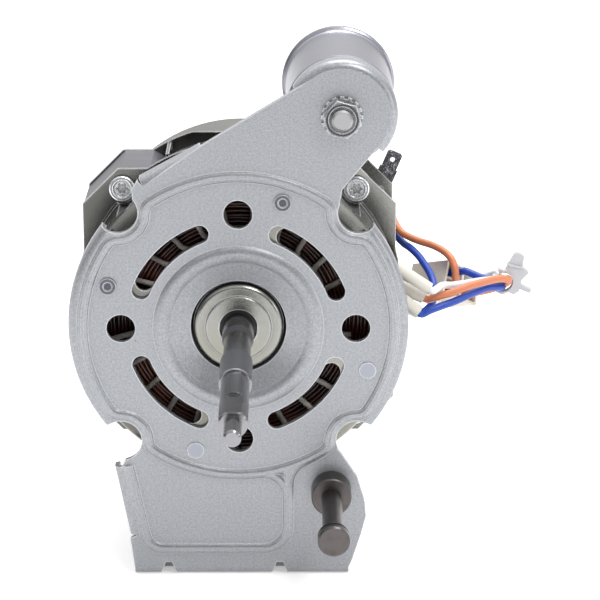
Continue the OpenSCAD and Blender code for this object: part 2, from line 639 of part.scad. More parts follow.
module winding_front() {
    color([0.30, 0.13, 0.08]) {
        end_ring(wf_y1);
        tube(strand_pts(), strand_d, 6);
    }
}
module winding_rear() {
    color([0.30, 0.13, 0.08]) end_ring(2 * mid_y - wf_y2);
}
module lacing_front() {
    color([0.72, 0.70, 0.66]) tube(lace_pts(), lacing_d, 6);
}
module thermal_protector() {
    y0 = 2 * mid_y - wf_y2 + 2;
    color([0.15, 0.15, 0.16]) translate([-7, y0, wind_r2 + 0.3])
        intersection() {
            cube([14, 14, 4.6]);
            translate([7, -1, -wind_r2 - 0.3]) rotate([-90, 0, 0])
                difference() {
                    cylinder(r = wind_r2 + 4.9, h = 20);
                    translate([0, 0, -1]) cylinder(r = wind_r2 + 0.3, h = 22);
                }
        }
}
module case_screws() {
    color([0.78, 0.79, 0.80]) for (sx = [-1, 1]) for (sz = [-1, 1]) difference() {
        turned(sx * screw_x, sz * screw_z) polygon([[0, fl_y - 1.3], [3.2, fl_y - 1.3],
            [3.5, fl_y - 1.9], [screw_head_d / 2 - 1.1, fl_y - 1.9], [screw_head_d / 2 - 0.9, fl_y - 1.5],
            [screw_head_d / 2 - 0.7, fl_y - 1.5], [screw_head_d / 2 - 0.5, fl_y - 1.9],
            [screw_head_d / 2, fl_y - 1.6], [screw_head_d / 2, fl_y],
            [screw_d / 2, fl_y], [screw_d / 2, stack_y2 + case_t + 5.5], [0, stack_y2 + case_t + 5.5]]);
        rod(sx * screw_x, sz * screw_z, 3.6, fl_y - 4, fl_y - 0.3);
        for (k = [0:5]) translate([sx * screw_x, fl_y - 4, sz * screw_z])
            rotate([-90, 60 * k, 0]) translate([1.9, 0, 0]) cylinder(d = 1.1, h = 3.7, $fn = 16);
    }
}
module case_nuts() {
    y0 = stack_y2 + case_t;
    color([0.72, 0.73, 0.72]) for (sx = [-1, 1]) for (sz = [-1, 1])
        translate([sx * screw_x, y0, sz * screw_z]) rotate([-90, 0, 0]) difference() {
            cylinder(d = 8 / cos(30), h = 4, $fn = 6);
            translate([0, 0, -1]) cylinder(d = screw_d + 2 * seat_gap, h = 6);
        }
}

// ---- Rotor ----
ring_w = 8;
module rotor_core() {
    color([0.46, 0.46, 0.48]) difference() {
        rod(0, 0, 2 * rotor_r, stack_y1, stack_y2);
        rod(0, 0, core_seat_d + 2 * seat_gap, 0, 200);
        for (i = [0:bars - 1]) {
            a = 360 * i / bars;
            rod(bar_r * cos(a), bar_r * sin(a), bar_d + 2 * run_gap, 0, 200);
        }
    }
}
module rotor_cage() {
    color([0.78, 0.79, 0.81]) {
        for (s = [0, 1]) translate([0, s ? 2 * mid_y : 0, 0]) mirror([0, s, 0]) {
            turned() polygon([[bar_r - bar_d / 2 - 3, stack_y1 - ring_w], [29.6, stack_y1 - ring_w],
                [30.4, stack_y1 - ring_w + 0.8], [30.4, stack_y1], [bar_r - bar_d / 2 - 3, stack_y1]]);
            for (i = [0:9]) translate([0, stack_y1 - ring_w - 5, 0]) rotate([0, 36 * i + 10, 0])
                translate([bar_r - bar_d / 2 - 1.5, 0, -1.1]) cube([6, 6, 2.2]);
        }
        for (i = [0:bars - 1]) {
            a = 360 * i / bars;
            rod(bar_r * cos(a), bar_r * sin(a), bar_d, stack_y1 - 2, stack_y2 + 2);
        }
    }
}
brg2_y = 2 * mid_y - pocket_y - 1.0 - brg_w;   // front of the rear bearing
rear_y = 2 * mid_y - nose_y;                   // rear shield's nose
module shaft() {
    r = shaft_d / 2; f = -shaft_front; e = f + stub_l; w = -belt_seat_y + belt_seat_w;
    color([0.76, 0.76, 0.77]) difference() {
        turned() polygon([[0, f], [stub_d / 2 - 0.7, f], [stub_d / 2, f + 0.7], [stub_d / 2, e],
            [drive_d / 2 - 0.6, e], [drive_d / 2, e + 0.6], [drive_d / 2, -belt_seat_y],
            [r - 0.4, -belt_seat_y], [r, -belt_seat_y + 0.5],
            [r, w], [waist_d / 2, w], [waist_d / 2, -18], [r, -14], [r, brg_y + brg_w],
            [core_seat_d / 2 - 0.8, brg_y + brg_w], [core_seat_d / 2 - 0.8, stack_y1 - 3],
            [core_seat_d / 2, stack_y1 - 3], [core_seat_d / 2, stack_y2 + 3],
            [core_seat_d / 2 - 0.8, stack_y2 + 3], [core_seat_d / 2 - 0.8, brg2_y],
            [r, brg2_y], [r, brg2_y + brg_w + 0.6], [rear_stub_d / 2, brg2_y + brg_w + 1.4],
            [rear_stub_d / 2, rear_y + rear_stub_l - 0.8],
            [rear_stub_d / 2 - 0.8, rear_y + rear_stub_l], [0, rear_y + rear_stub_l]]);
        translate([-10, e - 1, drive_d / 2 - flat_depth]) cube([20, flat_l + 1, 10]);
    }
}

// Rubber slinger on the shaft, in the nose's hole
module shaft_seal() {
    color([0.10, 0.10, 0.11]) turned() polygon([[shaft_d / 2 + seat_gap, nose_y + 0.7],
        [shaft_hole_d / 2 - 0.5, nose_y + 0.7], [shaft_hole_d / 2 - 0.2, nose_y + 1.0],
        [shaft_hole_d / 2 - 0.2, pocket_y - 0.2], [shaft_d / 2 + seat_gap, pocket_y - 0.2]]);
}

// ---- Ball bearings ----
race_r = ball_d / 2 + run_gap * 2;
race_i = ball_c - 2.1;
race_o = ball_c + 2.1;
module outer_ring(y0) {
    color([0.74, 0.75, 0.77]) turned() difference() {
        translate([race_o, y0]) square([brg_od / 2 - race_o, brg_w]);
        translate([ball_c, y0 + brg_w / 2]) circle(r = race_r, $fn = 64);
    }
}
module inner_ring(y0) {
    color([0.70, 0.71, 0.73]) turned() difference() {
        translate([shaft_d / 2 + seat_gap, y0]) square([race_i - shaft_d / 2 - seat_gap, brg_w]);
        translate([ball_c, y0 + brg_w / 2]) circle(r = race_r, $fn = 64);
    }
}
module ball_set(y0) {
    color([0.82, 0.83, 0.85]) for (i = [0:balls - 1]) rotate_ball(i, y0) sphere(d = ball_d, $fn = 32);
}
module rotate_ball(i, y0) {
    a = 360 * i / balls;
    translate([ball_c * cos(a), y0 + brg_w / 2, ball_c * sin(a)]) children();
}
module ball_cage(y0) {
    color([0.66, 0.58, 0.36]) difference() {
        turned() translate([ball_c - 0.7, y0 + 1.7]) square([1.4, brg_w - 3.4]);
        for (i = [0:balls - 1]) rotate_ball(i, y0) rotate([0, 90 - 360 * i / balls, 0])
            translate([0, 0, -4]) cylinder(d = ball_d + 4 * run_gap, h = 8);
    }
}
module brg_seals(y0) {
    color([0.30, 0.30, 0.31]) for (y = [y0 + 0.2, y0 + brg_w - 0.9]) turned()
        translate([race_i + 0.3, y]) square([race_o - race_i - 0.3 - seat_gap, 0.7]);
}
module front_outer_ring() outer_ring(brg_y);
module front_inner_ring() inner_ring(brg_y);
module front_balls() ball_set(brg_y);
module front_ball_cage() ball_cage(brg_y);
module front_brg_seals() brg_seals(brg_y);
module rear_outer_ring() outer_ring(brg2_y);
module rear_inner_ring() inner_ring(brg2_y);
module rear_balls() ball_set(brg2_y);
module rear_ball_cage() ball_cage(brg2_y);
module rear_brg_seals() brg_seals(brg2_y);
module preload_washer() {
    color([0.55, 0.56, 0.58]) turned() translate([race_o + 0.2, brg2_y + brg_w + 0.05])
        square([brg_od / 2 - race_o - 0.4, 0.9]);
}

// ---- Capacitor ----
can_y = plate_t;
can_end = plate_t + can_l;
module capacitor_can() {
    r = can_d / 2; q = can_rim_d / 2;
    color([0.74, 0.74, 0.79]) turned(cap_x, cap_z) polygon([[0, can_y + 1.2], [6, can_y + 1.2],
        [7, can_y], [arm_flat - 3.4, can_y], [arm_flat - 3, can_y + rim_depth + 0.6],
        [r - 2, can_y + rim_depth + 0.6], [r, can_y + rim_depth + 2.6],
        [r, can_end - 6.4], [q - 0.9, can_end - 5.6], [q - 0.9, can_end - 3.6],
        [q, can_end - 3.0], [q, can_end - 0.8], [q - 0.8, can_end], [q - 2.4, can_end],
        [q - 2.4, can_end - 2], [0, can_end - 2]]);
}
module capacitor_cap() {
    q = can_rim_d / 2 - 2.4 - seat_gap;
    color([0.12, 0.12, 0.13]) difference() {
        turned(cap_x, cap_z) polygon([[0, can_end - 2], [q, can_end - 2], [q, can_end],
            [q - 1.4, can_end + 1.6], [11, can_end + 1.6], [10.4, can_end + 4], [0, can_end + 4]]);
        for (s = [-1, 1]) translate([cap_x + s * 6 - 0.45, can_end - 1, cap_z - 3.2])
            cube([0.9, 8, 6.4]);
    }
}
module capacitor_tabs() {
    color([0.80, 0.79, 0.74]) for (s = [-1, 1]) difference() {
        translate([cap_x + s * 6 - 0.4, can_end - 1, cap_z - 3.1]) cube([0.8, 13, 6.2]);
        translate([cap_x + s * 6 - 1, can_end + 8.8, cap_z]) rotate([0, 90, 0])
            cylinder(d = 1.8, h = 2);
    }
}
module capacitor_stud() {
    r = stud_d / 2;
    color([0.76, 0.76, 0.76]) turned(cap_x, cap_z) polygon([[0, -stud_l], [r - 0.8, -stud_l],
        [r, -stud_l + 0.8], [r, can_y], [5.8, can_y], [5.8, can_y + 1.2], [0, can_y + 1.2]]);
}
module stud_washer() {
    r = washer_d / 2;
    color([0.80, 0.80, 0.80]) difference() {
        union() {
            rod(cap_x, cap_z, 2 * r - 2.2, -1.1, 0);
            for (i = [0:teeth - 1]) translate([cap_x, -1.1, cap_z])
                rotate([0, 360 * i / teeth, 0]) translate([r - 2.6, 0, -0.75]) cube([2.4, 1.1, 1.5]);
        }
        rod(cap_x, cap_z, stud_d + 2 * hole_gap, -3, 1);
    }
}
module stud_nut() {
    color([0.30, 0.30, 0.32]) difference() {
        intersection() {
            translate([cap_x, -6.6, cap_z]) rotate([-90, 0, 0]) rotate([0, 0, 15])
                cylinder(d = nut_af / cos(30), h = 5.5, $fn = 6);
            turned(cap_x, cap_z) polygon([[0, -6.6], [nut_af / 2 - 0.2, -6.6],
                [nut_af / 2 + 1.4, -5.6], [nut_af / 2 + 1.4, -1.1], [0, -1.1]]);
        }
        rod(cap_x, cap_z, stud_d + 2 * seat_gap, -8, 1);
        rod(cap_x, cap_z, stud_d + 2.6, -6.7, -5.9, stud_d);
    }
}
recep_y = can_end + 4.4;
module cap_receptacles() {
    color([0.86, 0.86, 0.84]) for (s = [-1, 1]) difference() {
        translate([cap_x + s * 6 - 2.2, recep_y, cap_z - 6]) cube([4.4, 9.4, 10]);
        translate([cap_x + s * 6 - 0.55, recep_y - 1, cap_z - 3.4]) cube([1.1, 9.2, 6.8]);
    }
}

// ---- Earth tab ----
tab_y = stack_y2 + case_t;
tab_a = 67.2;
tab_base = [stack_hx - 1.8, stack_hz - 8.5];
tab_dir = [cos(tab_a), sin(tab_a)];
tab_rivet = tab_base - 9.6 * tab_dir + [0.5, 0.6];
module earth_tab() {
    color([0.20, 0.20, 0.21]) difference() {
        translate([tab_base[0], tab_y + 0.8, tab_base[1]]) rotate([90, 0, 0])
            linear_extrude(0.8) rotate(tab_a - 90) union() {
                polygon([[-tab_w / 2, -0.5], [tab_w / 2, -0.5], [tab_w / 2, tab_l - 0.8],
                    [tab_w / 2 - 0.8, tab_l], [-tab_w / 2 + 0.8, tab_l], [-tab_w / 2, tab_l - 0.8]]);
                polygon([[-tab_w / 2 - 0.6, 0.6], [-tab_w / 2 - 0.6, -1.2], [-3.4, -9.5],
                    [-1.5, -12.6], [2.4, -12.6], [3.4, -9.5], [tab_w / 2 + 0.6, -3.2],
                    [tab_w / 2 + 0.6, 0.6]]);
            }
        rod(tab_base[0] + 4.4 * tab_dir[0], tab_base[1] + 4.4 * tab_dir[1], 1.9,
            tab_y - 2, tab_y + 3);
        rod(tab_rivet[0], tab_rivet[1], 3.2 + 2 * hole_gap, tab_y - 2, tab_y + 3);
    }
}
module earth_rivet() {
    color([0.66, 0.66, 0.65]) {
        rod(tab_rivet[0], tab_rivet[1], 3.2, tab_y - case_t, tab_y + 1);
        rod(tab_rivet[0], tab_rivet[1], 5.4, tab_y + 0.8, tab_y + 2);
    }
}

// ---- Leads, connector and clip ----
module lead_grommet() {
    color([0.16, 0.16, 0.17]) {
        exit_oval(cup_r + 0.15, exit_r, 20, 11);
        exit_oval(cup_r - 2.7, cup_r + 0.2, 16.8, 7.8);
        exit_oval(cup_r - 4.6, cup_r - 2.6, 19, 10);
    }
}
sleeve_p = [[[62.2, 20.0, 18.1], [74.4, 20, 9.9]], [[63.9, 24.6, 9.3], [72.5, 24.6, 4.9]],
    [[64.4, 19.4, 5.4], [70.3, 19.4, 0.7]], [[64.0, 25.6, 2.2], [70.6, 28.6, -2.4]]];
// Where a wire starts inside its sleeve and leaves it
function from_sleeve(i) = let (s = sleeve_p[i], t = unit(s[1] - s[0]))
    [s[1] - 3 * t, s[1], s[1] + 1.6 * t];
module lead_sleeves() {
    color([0.88, 0.86, 0.80]) for (s = sleeve_p) difference() {
        t = unit(s[1] - s[0]);
        l = norm(s[1] - s[0]) + 4;
        translate([s[1][0], s[1][1], s[1][2]])
            rotate([0, acos(-t[2]), atan2(-t[1], -t[0])]) difference() {
                cylinder(d = sleeve_d, h = l, $fn = 40);
                translate([0, 0, -1]) cylinder(d = wire_d + 2 * soft_gap, h = l + 2, $fn = 40);
            }
        translate([0, exit_y, 0]) rotate([0, -exit_a, 0]) translate([exit_r - 40, -20, -30])
            cube([40, 40, 60]);
    }
}
// Connector frame: n leaves the openings, m runs across them, k is up
hold_w = 12;                            // height of the connector's holder
cc = [flange_r + 18.0, mid_y + 9.45, -0.9];
cn = unit([0.614, -0.735, 0.287]);
cm0 = unit(cross(cn, [0, 0, 1]));
ck0 = cross(cm0, cn);
cm = cos(26.9) * cm0 + sin(26.9) * ck0;
ck = cross(cm, cn);
function cpos(n, m, k) = cc + n * cn + m * cm + k * ck;
module in_conn() {
    multmatrix([[cn[0], cm[0], ck[0], cc[0]], [cn[1], cm[1], ck[1], cc[1]],
        [cn[2], cm[2], ck[2], cc[2]], [0, 0, 0, 1]]) children();
}
cav_w = conn_w / 2 - 1.5;                // width of one opening
cav_h = conn_h / 2 - 1.4;                // height of one opening
cav_m = [cav_w / 2 + 0.5, -cav_w / 2 - 0.5];
cav_k = cav_h / 2 + 0.4;
term_n = conn_l / 2 - 7;               // where the wires meet their terminals
module connector_housing() {
    color([0.86, 0.83, 0.76]) in_conn() difference() {
        union() {
            translate([-conn_l / 2, -conn_w / 2, -conn_h / 2]) cube([conn_l, conn_w, conn_h]);
            // latch under the housing
            translate([-conn_l / 2 + 4, -4, -conn_h / 2 - 1.2]) cube([9, 8, 1.3]);
        }
        for (m = cav_m) for (k = [-cav_k, cav_k])
            translate([-conn_l / 2 + 2, m - cav_w / 2, k - cav_h / 2]) cube([conn_l, cav_w, cav_h]);
    }
}
module connector_terminals() {
    color([0.80, 0.80, 0.82]) in_conn() for (m = cav_m) for (k = [-cav_k, cav_k])
        translate([-conn_l / 2 + 2.4, m - 1.7, k - cav_h / 2]) difference() {
            cube([term_n + conn_l / 2 - 2.4, 3.4, cav_h - 1]);
            translate([-1, 0.6, 0.9]) cube([4, 2.2, 2.8]);
        }
}
// Holder that clips over the rear flange's rim and carries the connector
module connector_holder() {
    y0 = stack_y2; ri = rear_flange_r;
    color([0.90, 0.89, 0.85]) difference() {
        union() {
            translate([ri - 3, y0 - 1.8, -hold_w / 2]) cube([4.6, case_t + 3.6, hold_w]);
            translate([ri + 0.4, y0 - 1.8, -hold_w / 2]) cube([cc[0] - ri - 8, case_t + 3.6, hold_w - 4]);
        }
        rod(0, 0, 2 * (ri + 0.1), y0 - 0.1, y0 + case_t + 0.1);
        rod(0, 0, 2 * (rear_cup_r + 1.5), y0 + case_t - 0.5, y0 + case_t + 4);
        translate([0, 0, -40]) cube([stack_hx + soft_gap, y0 - 0.05, 80]);
        in_conn() translate([-conn_l / 2, -40, -40]) cube([80, 80, 80]);
    }
}
// Edge clip: a flat moulding with a round hole that the three wires pass
clip_c = [flange_r + 39.8, mid_y - 13.5, 7.3];
clip_r = 3.85;
clip_t = 3.2;
module clip_part(t, p) {
    translate([clip_c[0], clip_c[1] + t / 2, clip_c[2]]) rotate([90, 0, 0]) linear_extrude(t) polygon(p);
}
module cable_clip() {
    color([0.90, 0.91, 0.92]) difference() {
        union() {
            clip_part(clip_t, [[-5.0, 0], [-4.2, 2.6], [-1.6, 3.2], [-2.1, 5.0], [-1.5, 5.6], [0.1, 4.8],
                [0.9, 5.0], [1.4, 6.2], [1.7, 7.2], [7.7, 5.9], [7.6, 6.0], [9.9, 4.7], [10.1, 3.9],
                [8.0, 1.7], [7.3, 0.6], [7.2, -0.9], [6.7, -2.8], [6.5, -3.8], [4.3, -5.1], [2.4, -4.3],
                [1.9, -4.3], [-0.3, -5.2], [-2.7, -4.1], [-4.6, -2.6]]);
            clip_part(clip_t - 1.2, [[1.2, 6.0], [4.1, 11.5], [5.0, 12.1], [6.1, 12.0], [8.0, 11.0],
                [8.2, 10.1], [7.9, 8.4], [7.6, 5.5]]);
            clip_part(clip_t + 1, [[1.6, 6.9], [7.6, 5.6], [7.6, 6.4], [1.9, 7.6]]);
            translate([clip_c[0] + 6, clip_c[1], clip_c[2] - 1.7]) rotate([0, 113, 0])
                cylinder(d = 2.4, h = 5.6, $fn = 32);
        }
        translate([clip_c[0], clip_c[1] + 9, clip_c[2]]) rotate([90, 0, 0]) cylinder(r = clip_r, h = 18);
    }
}
function turned_back(p) = [for (i = [len(p) - 1:-1:0]) p[i]];
function into(m, k, out = 6) =
    [for (t = [out, out / 3, -3, term_n - conn_l / 2]) cpos(conn_l / 2 + t, m, k)];
route_orange_a = concat([[cap_x + 6, recep_y + 5, cap_z - 6], [cap_x + 6, recep_y + 5, cap_z - 10],
    [44.6, 77, 66], [44.4, 78.2, 58], [46, 78.6, 51], [50, 78.6, 44.5], [54.5, 78.6, 38.5],
    [58.8, 78.2, 32.5], [61.6, 76, 27], [63.2, 72.5, 22.6],
    [65.9, 68, 19.6], [69.3, 65, 18.3], [73.3, 62, 17.4], [77.3, 59, 16.9], [80.8, 56, 16],
    [83.5, 52.8, 14.8], [85.4, 49.5, 13], [86.3, 47.3, 10.6], [86.7, 46.6, 8], [86.9, 47, 5.5]],
    into(cav_m[0], -cav_k, 2.4));
route_blue_a = concat([[cap_x - 6, recep_y + 5, cap_z - 6], [cap_x - 6, recep_y + 5, cap_z - 10],
    [34.2, 80.5, 67.5], [36.5, 83.4, 60], [41.5, 84.4, 52.5], [48.5, 84.4, 45], [54.5, 83.6, 37.5],
    [59.4, 81, 29.5], [62.2, 77, 22], [63.4, 73.4, 17.8],
    [66.4, 69, 15.0], [69.3, 63, 14.3], [72.2, 56, 13.0], [74.3, 49.5, 11.3], [75.9, 43.5, 9.8],
    [76.9, 37, 8.1], [77.3, 33, 5.5], [76.9, 31, 2.8], [76, 30, 0.4], [74.5, 29.4, -1.2]],
    turned_back(from_sleeve(3)));
route_white = concat(from_sleeve(0), [[79.6, 23.8, 10.1], [84, 27.6, 9.1], [88.3, 30.6, 8.8],
    [92.4, 32.6, 8.9], [96.6, 34.4, 9], [100.2, 35.3, 9.1], [103.5, 36.8, 8.9], [103.7, 41.2, 8.7],
    [104, 45, 8.8], [103.2, 49, 7.9], [100.6, 51.8, 6.3]], into(cav_m[1], cav_k, 5));
route_orange_b = concat(from_sleeve(1), [[79.2, 23.3, 6.1], [83.8, 23.3, 7.4], [89.5, 25, 9.2],
    [95.7, 27.6, 10.2], [101, 30.4, 10.6], [104.6, 32.6, 10.3], [106.5, 34.3, 9.2], [107, 36.8, 8],
    [107.1, 41.2, 7.8], [107.9, 44, 6], [106.2, 47, 3.4], [102.6, 49.4, 1.2]],
    into(cav_m[1], -cav_k, 5));
route_blue_b = concat(from_sleeve(2), [[74.6, 19.8, 1.0], [78.6, 21, 2.2], [85.6, 24, 3.9],
    [91.9, 27.6, 5.7], [98.3, 31.6, 6.8], [102.2, 34.2, 6.3], [104.5, 37, 5.5], [104.5, 41.2, 5.4],
    [103.4, 43.2, 5.4], [101.2, 44.6, 5.8], [98.3, 44.8, 6.6], [95.6, 45.9, 7.4], [93.3, 47.4, 8]],
    into(cav_m[0], cav_k, 6));
module wire_orange_a() color([0.85, 0.48, 0.30]) tube(route_orange_a, wire_d);
module wire_blue_a() color([0.13, 0.24, 0.62]) tube(route_blue_a, wire_d);
module wire_orange_b() color([0.85, 0.48, 0.30]) tube(route_orange_b, wire_d);
module wire_blue_b() color([0.13, 0.24, 0.62]) tube(route_blue_b, wire_d);
module wire_white() color([0.86, 0.87, 0.88]) tube(route_white, wire_d - 0.2);

mounting_plate();
plate_rivets();
tensioner_pin();
front_shield();
rear_shield();
stator_core();
slot_liners();
slot_coils();
winding_front();
winding_rear();
lacing_front();
thermal_protector();
case_screws();
case_nuts();
rotor_core();
rotor_cage();
shaft();
shaft_seal();
front_outer_ring();
front_inner_ring();
front_balls();
front_ball_cage();
front_brg_seals();
rear_outer_ring();
rear_inner_ring();
rear_balls();
rear_ball_cage();
rear_brg_seals();
preload_washer();
capacitor_can();
capacitor_cap();
capacitor_tabs();
capacitor_stud();
stud_washer();
stud_nut();
cap_receptacles();
earth_tab();
earth_rivet();
lead_grommet();
lead_sleeves();
connector_housing();
connector_terminals();
connector_holder();
cable_clip();
wire_orange_a();
wire_blue_a();
wire_orange_b();
wire_blue_b();
wire_white();
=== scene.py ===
import json
import math
import random

import bpy
from mathutils import Matrix, Vector


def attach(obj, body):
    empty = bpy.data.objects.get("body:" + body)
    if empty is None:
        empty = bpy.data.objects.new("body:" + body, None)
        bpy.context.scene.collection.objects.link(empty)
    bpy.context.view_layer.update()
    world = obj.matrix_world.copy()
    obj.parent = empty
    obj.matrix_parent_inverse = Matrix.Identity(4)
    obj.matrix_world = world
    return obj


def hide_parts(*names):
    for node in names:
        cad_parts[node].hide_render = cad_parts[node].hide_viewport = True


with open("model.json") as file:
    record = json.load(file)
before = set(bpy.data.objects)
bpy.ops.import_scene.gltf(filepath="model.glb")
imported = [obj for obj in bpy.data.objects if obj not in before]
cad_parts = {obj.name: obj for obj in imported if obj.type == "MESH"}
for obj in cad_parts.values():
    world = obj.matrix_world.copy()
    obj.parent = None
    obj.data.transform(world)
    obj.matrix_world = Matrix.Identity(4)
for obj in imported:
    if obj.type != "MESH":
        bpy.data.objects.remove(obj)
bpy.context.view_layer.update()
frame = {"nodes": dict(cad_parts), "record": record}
NODES = frame["nodes"]
SLOT = {s["node"]: s["material_slot"] for s in frame["record"]["subparts"]}
MM = 0.001
CAP = (0.0392, 0.0832)                  # axes of the capacitor and of the tensioner pin, x and z
PIN = (0.036, -0.0664)
scene = bpy.context.scene

# ---- Camera: the photograph's own view, found from the plate's holes ----
CAM_AT = Vector((16.65, -846.83, 271.47)) * MM
yaw, pitch, roll = math.radians(0.473), math.radians(17.067), math.radians(0.117)
fwd = Vector((math.sin(yaw) * math.cos(pitch), math.cos(yaw) * math.cos(pitch), -math.sin(pitch)))
side = Vector((math.cos(yaw), -math.sin(yaw), 0))
up = side.cross(fwd)
right = side * math.cos(roll) + up * math.sin(roll)
up = up * math.cos(roll) - side * math.sin(roll)
cam_data = bpy.data.cameras.new("camera")
cam_data.lens = 138.8
cam_data.sensor_width = 36
cam_data.clip_start, cam_data.clip_end = 0.01, 50
cam = bpy.data.objects.new("camera", cam_data)
scene.collection.objects.link(cam)
turn = Matrix((right, up, -fwd)).transposed().to_4x4()
cam.matrix_world = Matrix.Translation(CAM_AT) @ turn
scene.camera = cam


# ---- Materials ----
def lin(c):
    """An sRGB colour from 0 to 255 as a linear one."""
    c = [x / 255 for x in c]
    return tuple(x / 12.92 if x <= 0.04045 else ((x + 0.055) / 1.055) ** 2.4 for x in c) + (1,)


class Mat:
    """A material's node tree, with short calls for its nodes."""

    def __init__(self, name):
        self.m = bpy.data.materials.new(name)
        self.m.use_nodes = True
        self.nt = self.m.node_tree
        self.nt.nodes.clear()
        self.out = self.nt.nodes.new("ShaderNodeOutputMaterial")
        self.p = self.nt.nodes.new("ShaderNodeBsdfPrincipled")
        self.nt.links.new(self.p.outputs[0], self.out.inputs[0])
        self.obj = self.new("TexCoord").outputs["Object"]

    def put(self, node, name, value):
        s = node.inputs[name]
        if isinstance(value, bpy.types.NodeSocket):
            self.nt.links.new(value, s)
        else:
            s.default_value = value

    def new(self, kind, ins=(), **props):
        n = self.nt.nodes.new("ShaderNode" + kind)
        for k, v in props.items():
            setattr(n, k, v)
        for k, v in dict(ins).items():
            self.put(n, k, v)
        return n

    def set(self, **kw):
        for k, v in kw.items():
            self.put(self.p, k.replace("_", " "), v)
        return self

    def math(self, op, a, b=0.0, c=0.0):
        return self.new("Math", {0: a, 1: b, 2: c}, operation=op).outputs[0]

    def noise(self, scale, detail=3, rough=0.55, vec=None, dist=0.0):
        return self.new("TexNoise", {"Vector": vec or self.obj, "Scale": scale, "Detail": detail,
                                     "Roughness": rough, "Distortion": dist}).outputs[0]

    def scaled(self, v):
        return self.new("VectorMath", {0: self.obj, 1: v}, operation="MULTIPLY").outputs[0]

    def ramp(self, fac, stops):
        r = self.new("ValToRGB", {"Fac": fac})
        e = r.color_ramp.elements
        while len(e) < len(stops):
            e.new(0.5)
        for x, (pos, col) in zip(e, stops):
            x.position = pos
            x.color = col if not isinstance(col, (int, float)) else (col, col, col, 1)
        return r.outputs[0]

    def mix(self, fac, a, b, blend="MIX"):
        n = self.new("Mix", data_type="RGBA", blend_type=blend)
        for i, v in ((0, fac), (6, a), (7, b)):
            self.put(n, i, v)
        return n.outputs[2]

    def toned(self, base, k):
        """The colour base, made lighter or darker by the factor k."""
        return self.mix(1.0, base, self.new("CombineColor", {0: k, 1: k, 2: k}).outputs[0], "MULTIPLY")

    def range(self, v, lo, hi, f0=0.0, f1=1.0):
        """v from f0 to f1 brought to lo to hi."""
        return self.new("MapRange", {0: v, 1: f0, 2: f1, 3: lo, 4: hi}).outputs[0]

    def bump(self, height, dist, strength=1.0, normal=None):
        ins = {"Height": height, "Distance": dist, "Strength": strength}
        if normal is not None:
            ins["Normal"] = normal
        return self.new("Bump", ins).outputs[0]

    def polar(self, x0=0.0, z0=0.0, k=(1, 1, 1)):
        """Angle, radius and length along an axis that runs along Y through x0, z0, each times k."""
        s = self.new("SeparateXYZ", {0: self.obj})
        x, z = self.math("SUBTRACT", s.outputs[0], x0), self.math("SUBTRACT", s.outputs[2], z0)
        a = self.math("ARCTAN2", z, x)
        r = self.math("SQRT", self.math("ADD", self.math("MULTIPLY", x, x), self.math("MULTIPLY", z, z)))
        return self.new("CombineXYZ", {0: self.math("MULTIPLY", a, k[0]),
                                       1: self.math("MULTIPLY", r, k[1]),
                                       2: self.math("MULTIPLY", s.outputs[1], k[2])}).outputs[0]

    def edge(self, radius):
        """The normal, rounded off near edges."""
        return self.new("Bevel", {"Radius": radius}, samples=4).outputs[0]

    def rim(self, radius):
        """1 on sharp edges, 0 on faces."""
        face = self.new("NewGeometry").outputs["Normal"]
        dot = self.new("VectorMath", {0: self.edge(radius), 1: face}, operation="DOT_PRODUCT")
        return self.range(dot.outputs["Value"], 1.0, 0.0, 0.86, 0.995)

    def crease(self, reach):
        """1 in creases and corners, which are painted darker as shade, 0 on open faces."""
        ao = self.new("AmbientOcclusion", {"Distance": reach}, samples=6, only_local=True).outputs["AO"]
        return self.range(ao, 1.0, 0.0, 0.66, 0.97)


def shade(c, k):
    """The linear colour c times k."""
    return tuple(min(1, x * k) for x in c[:3]) + (1,)


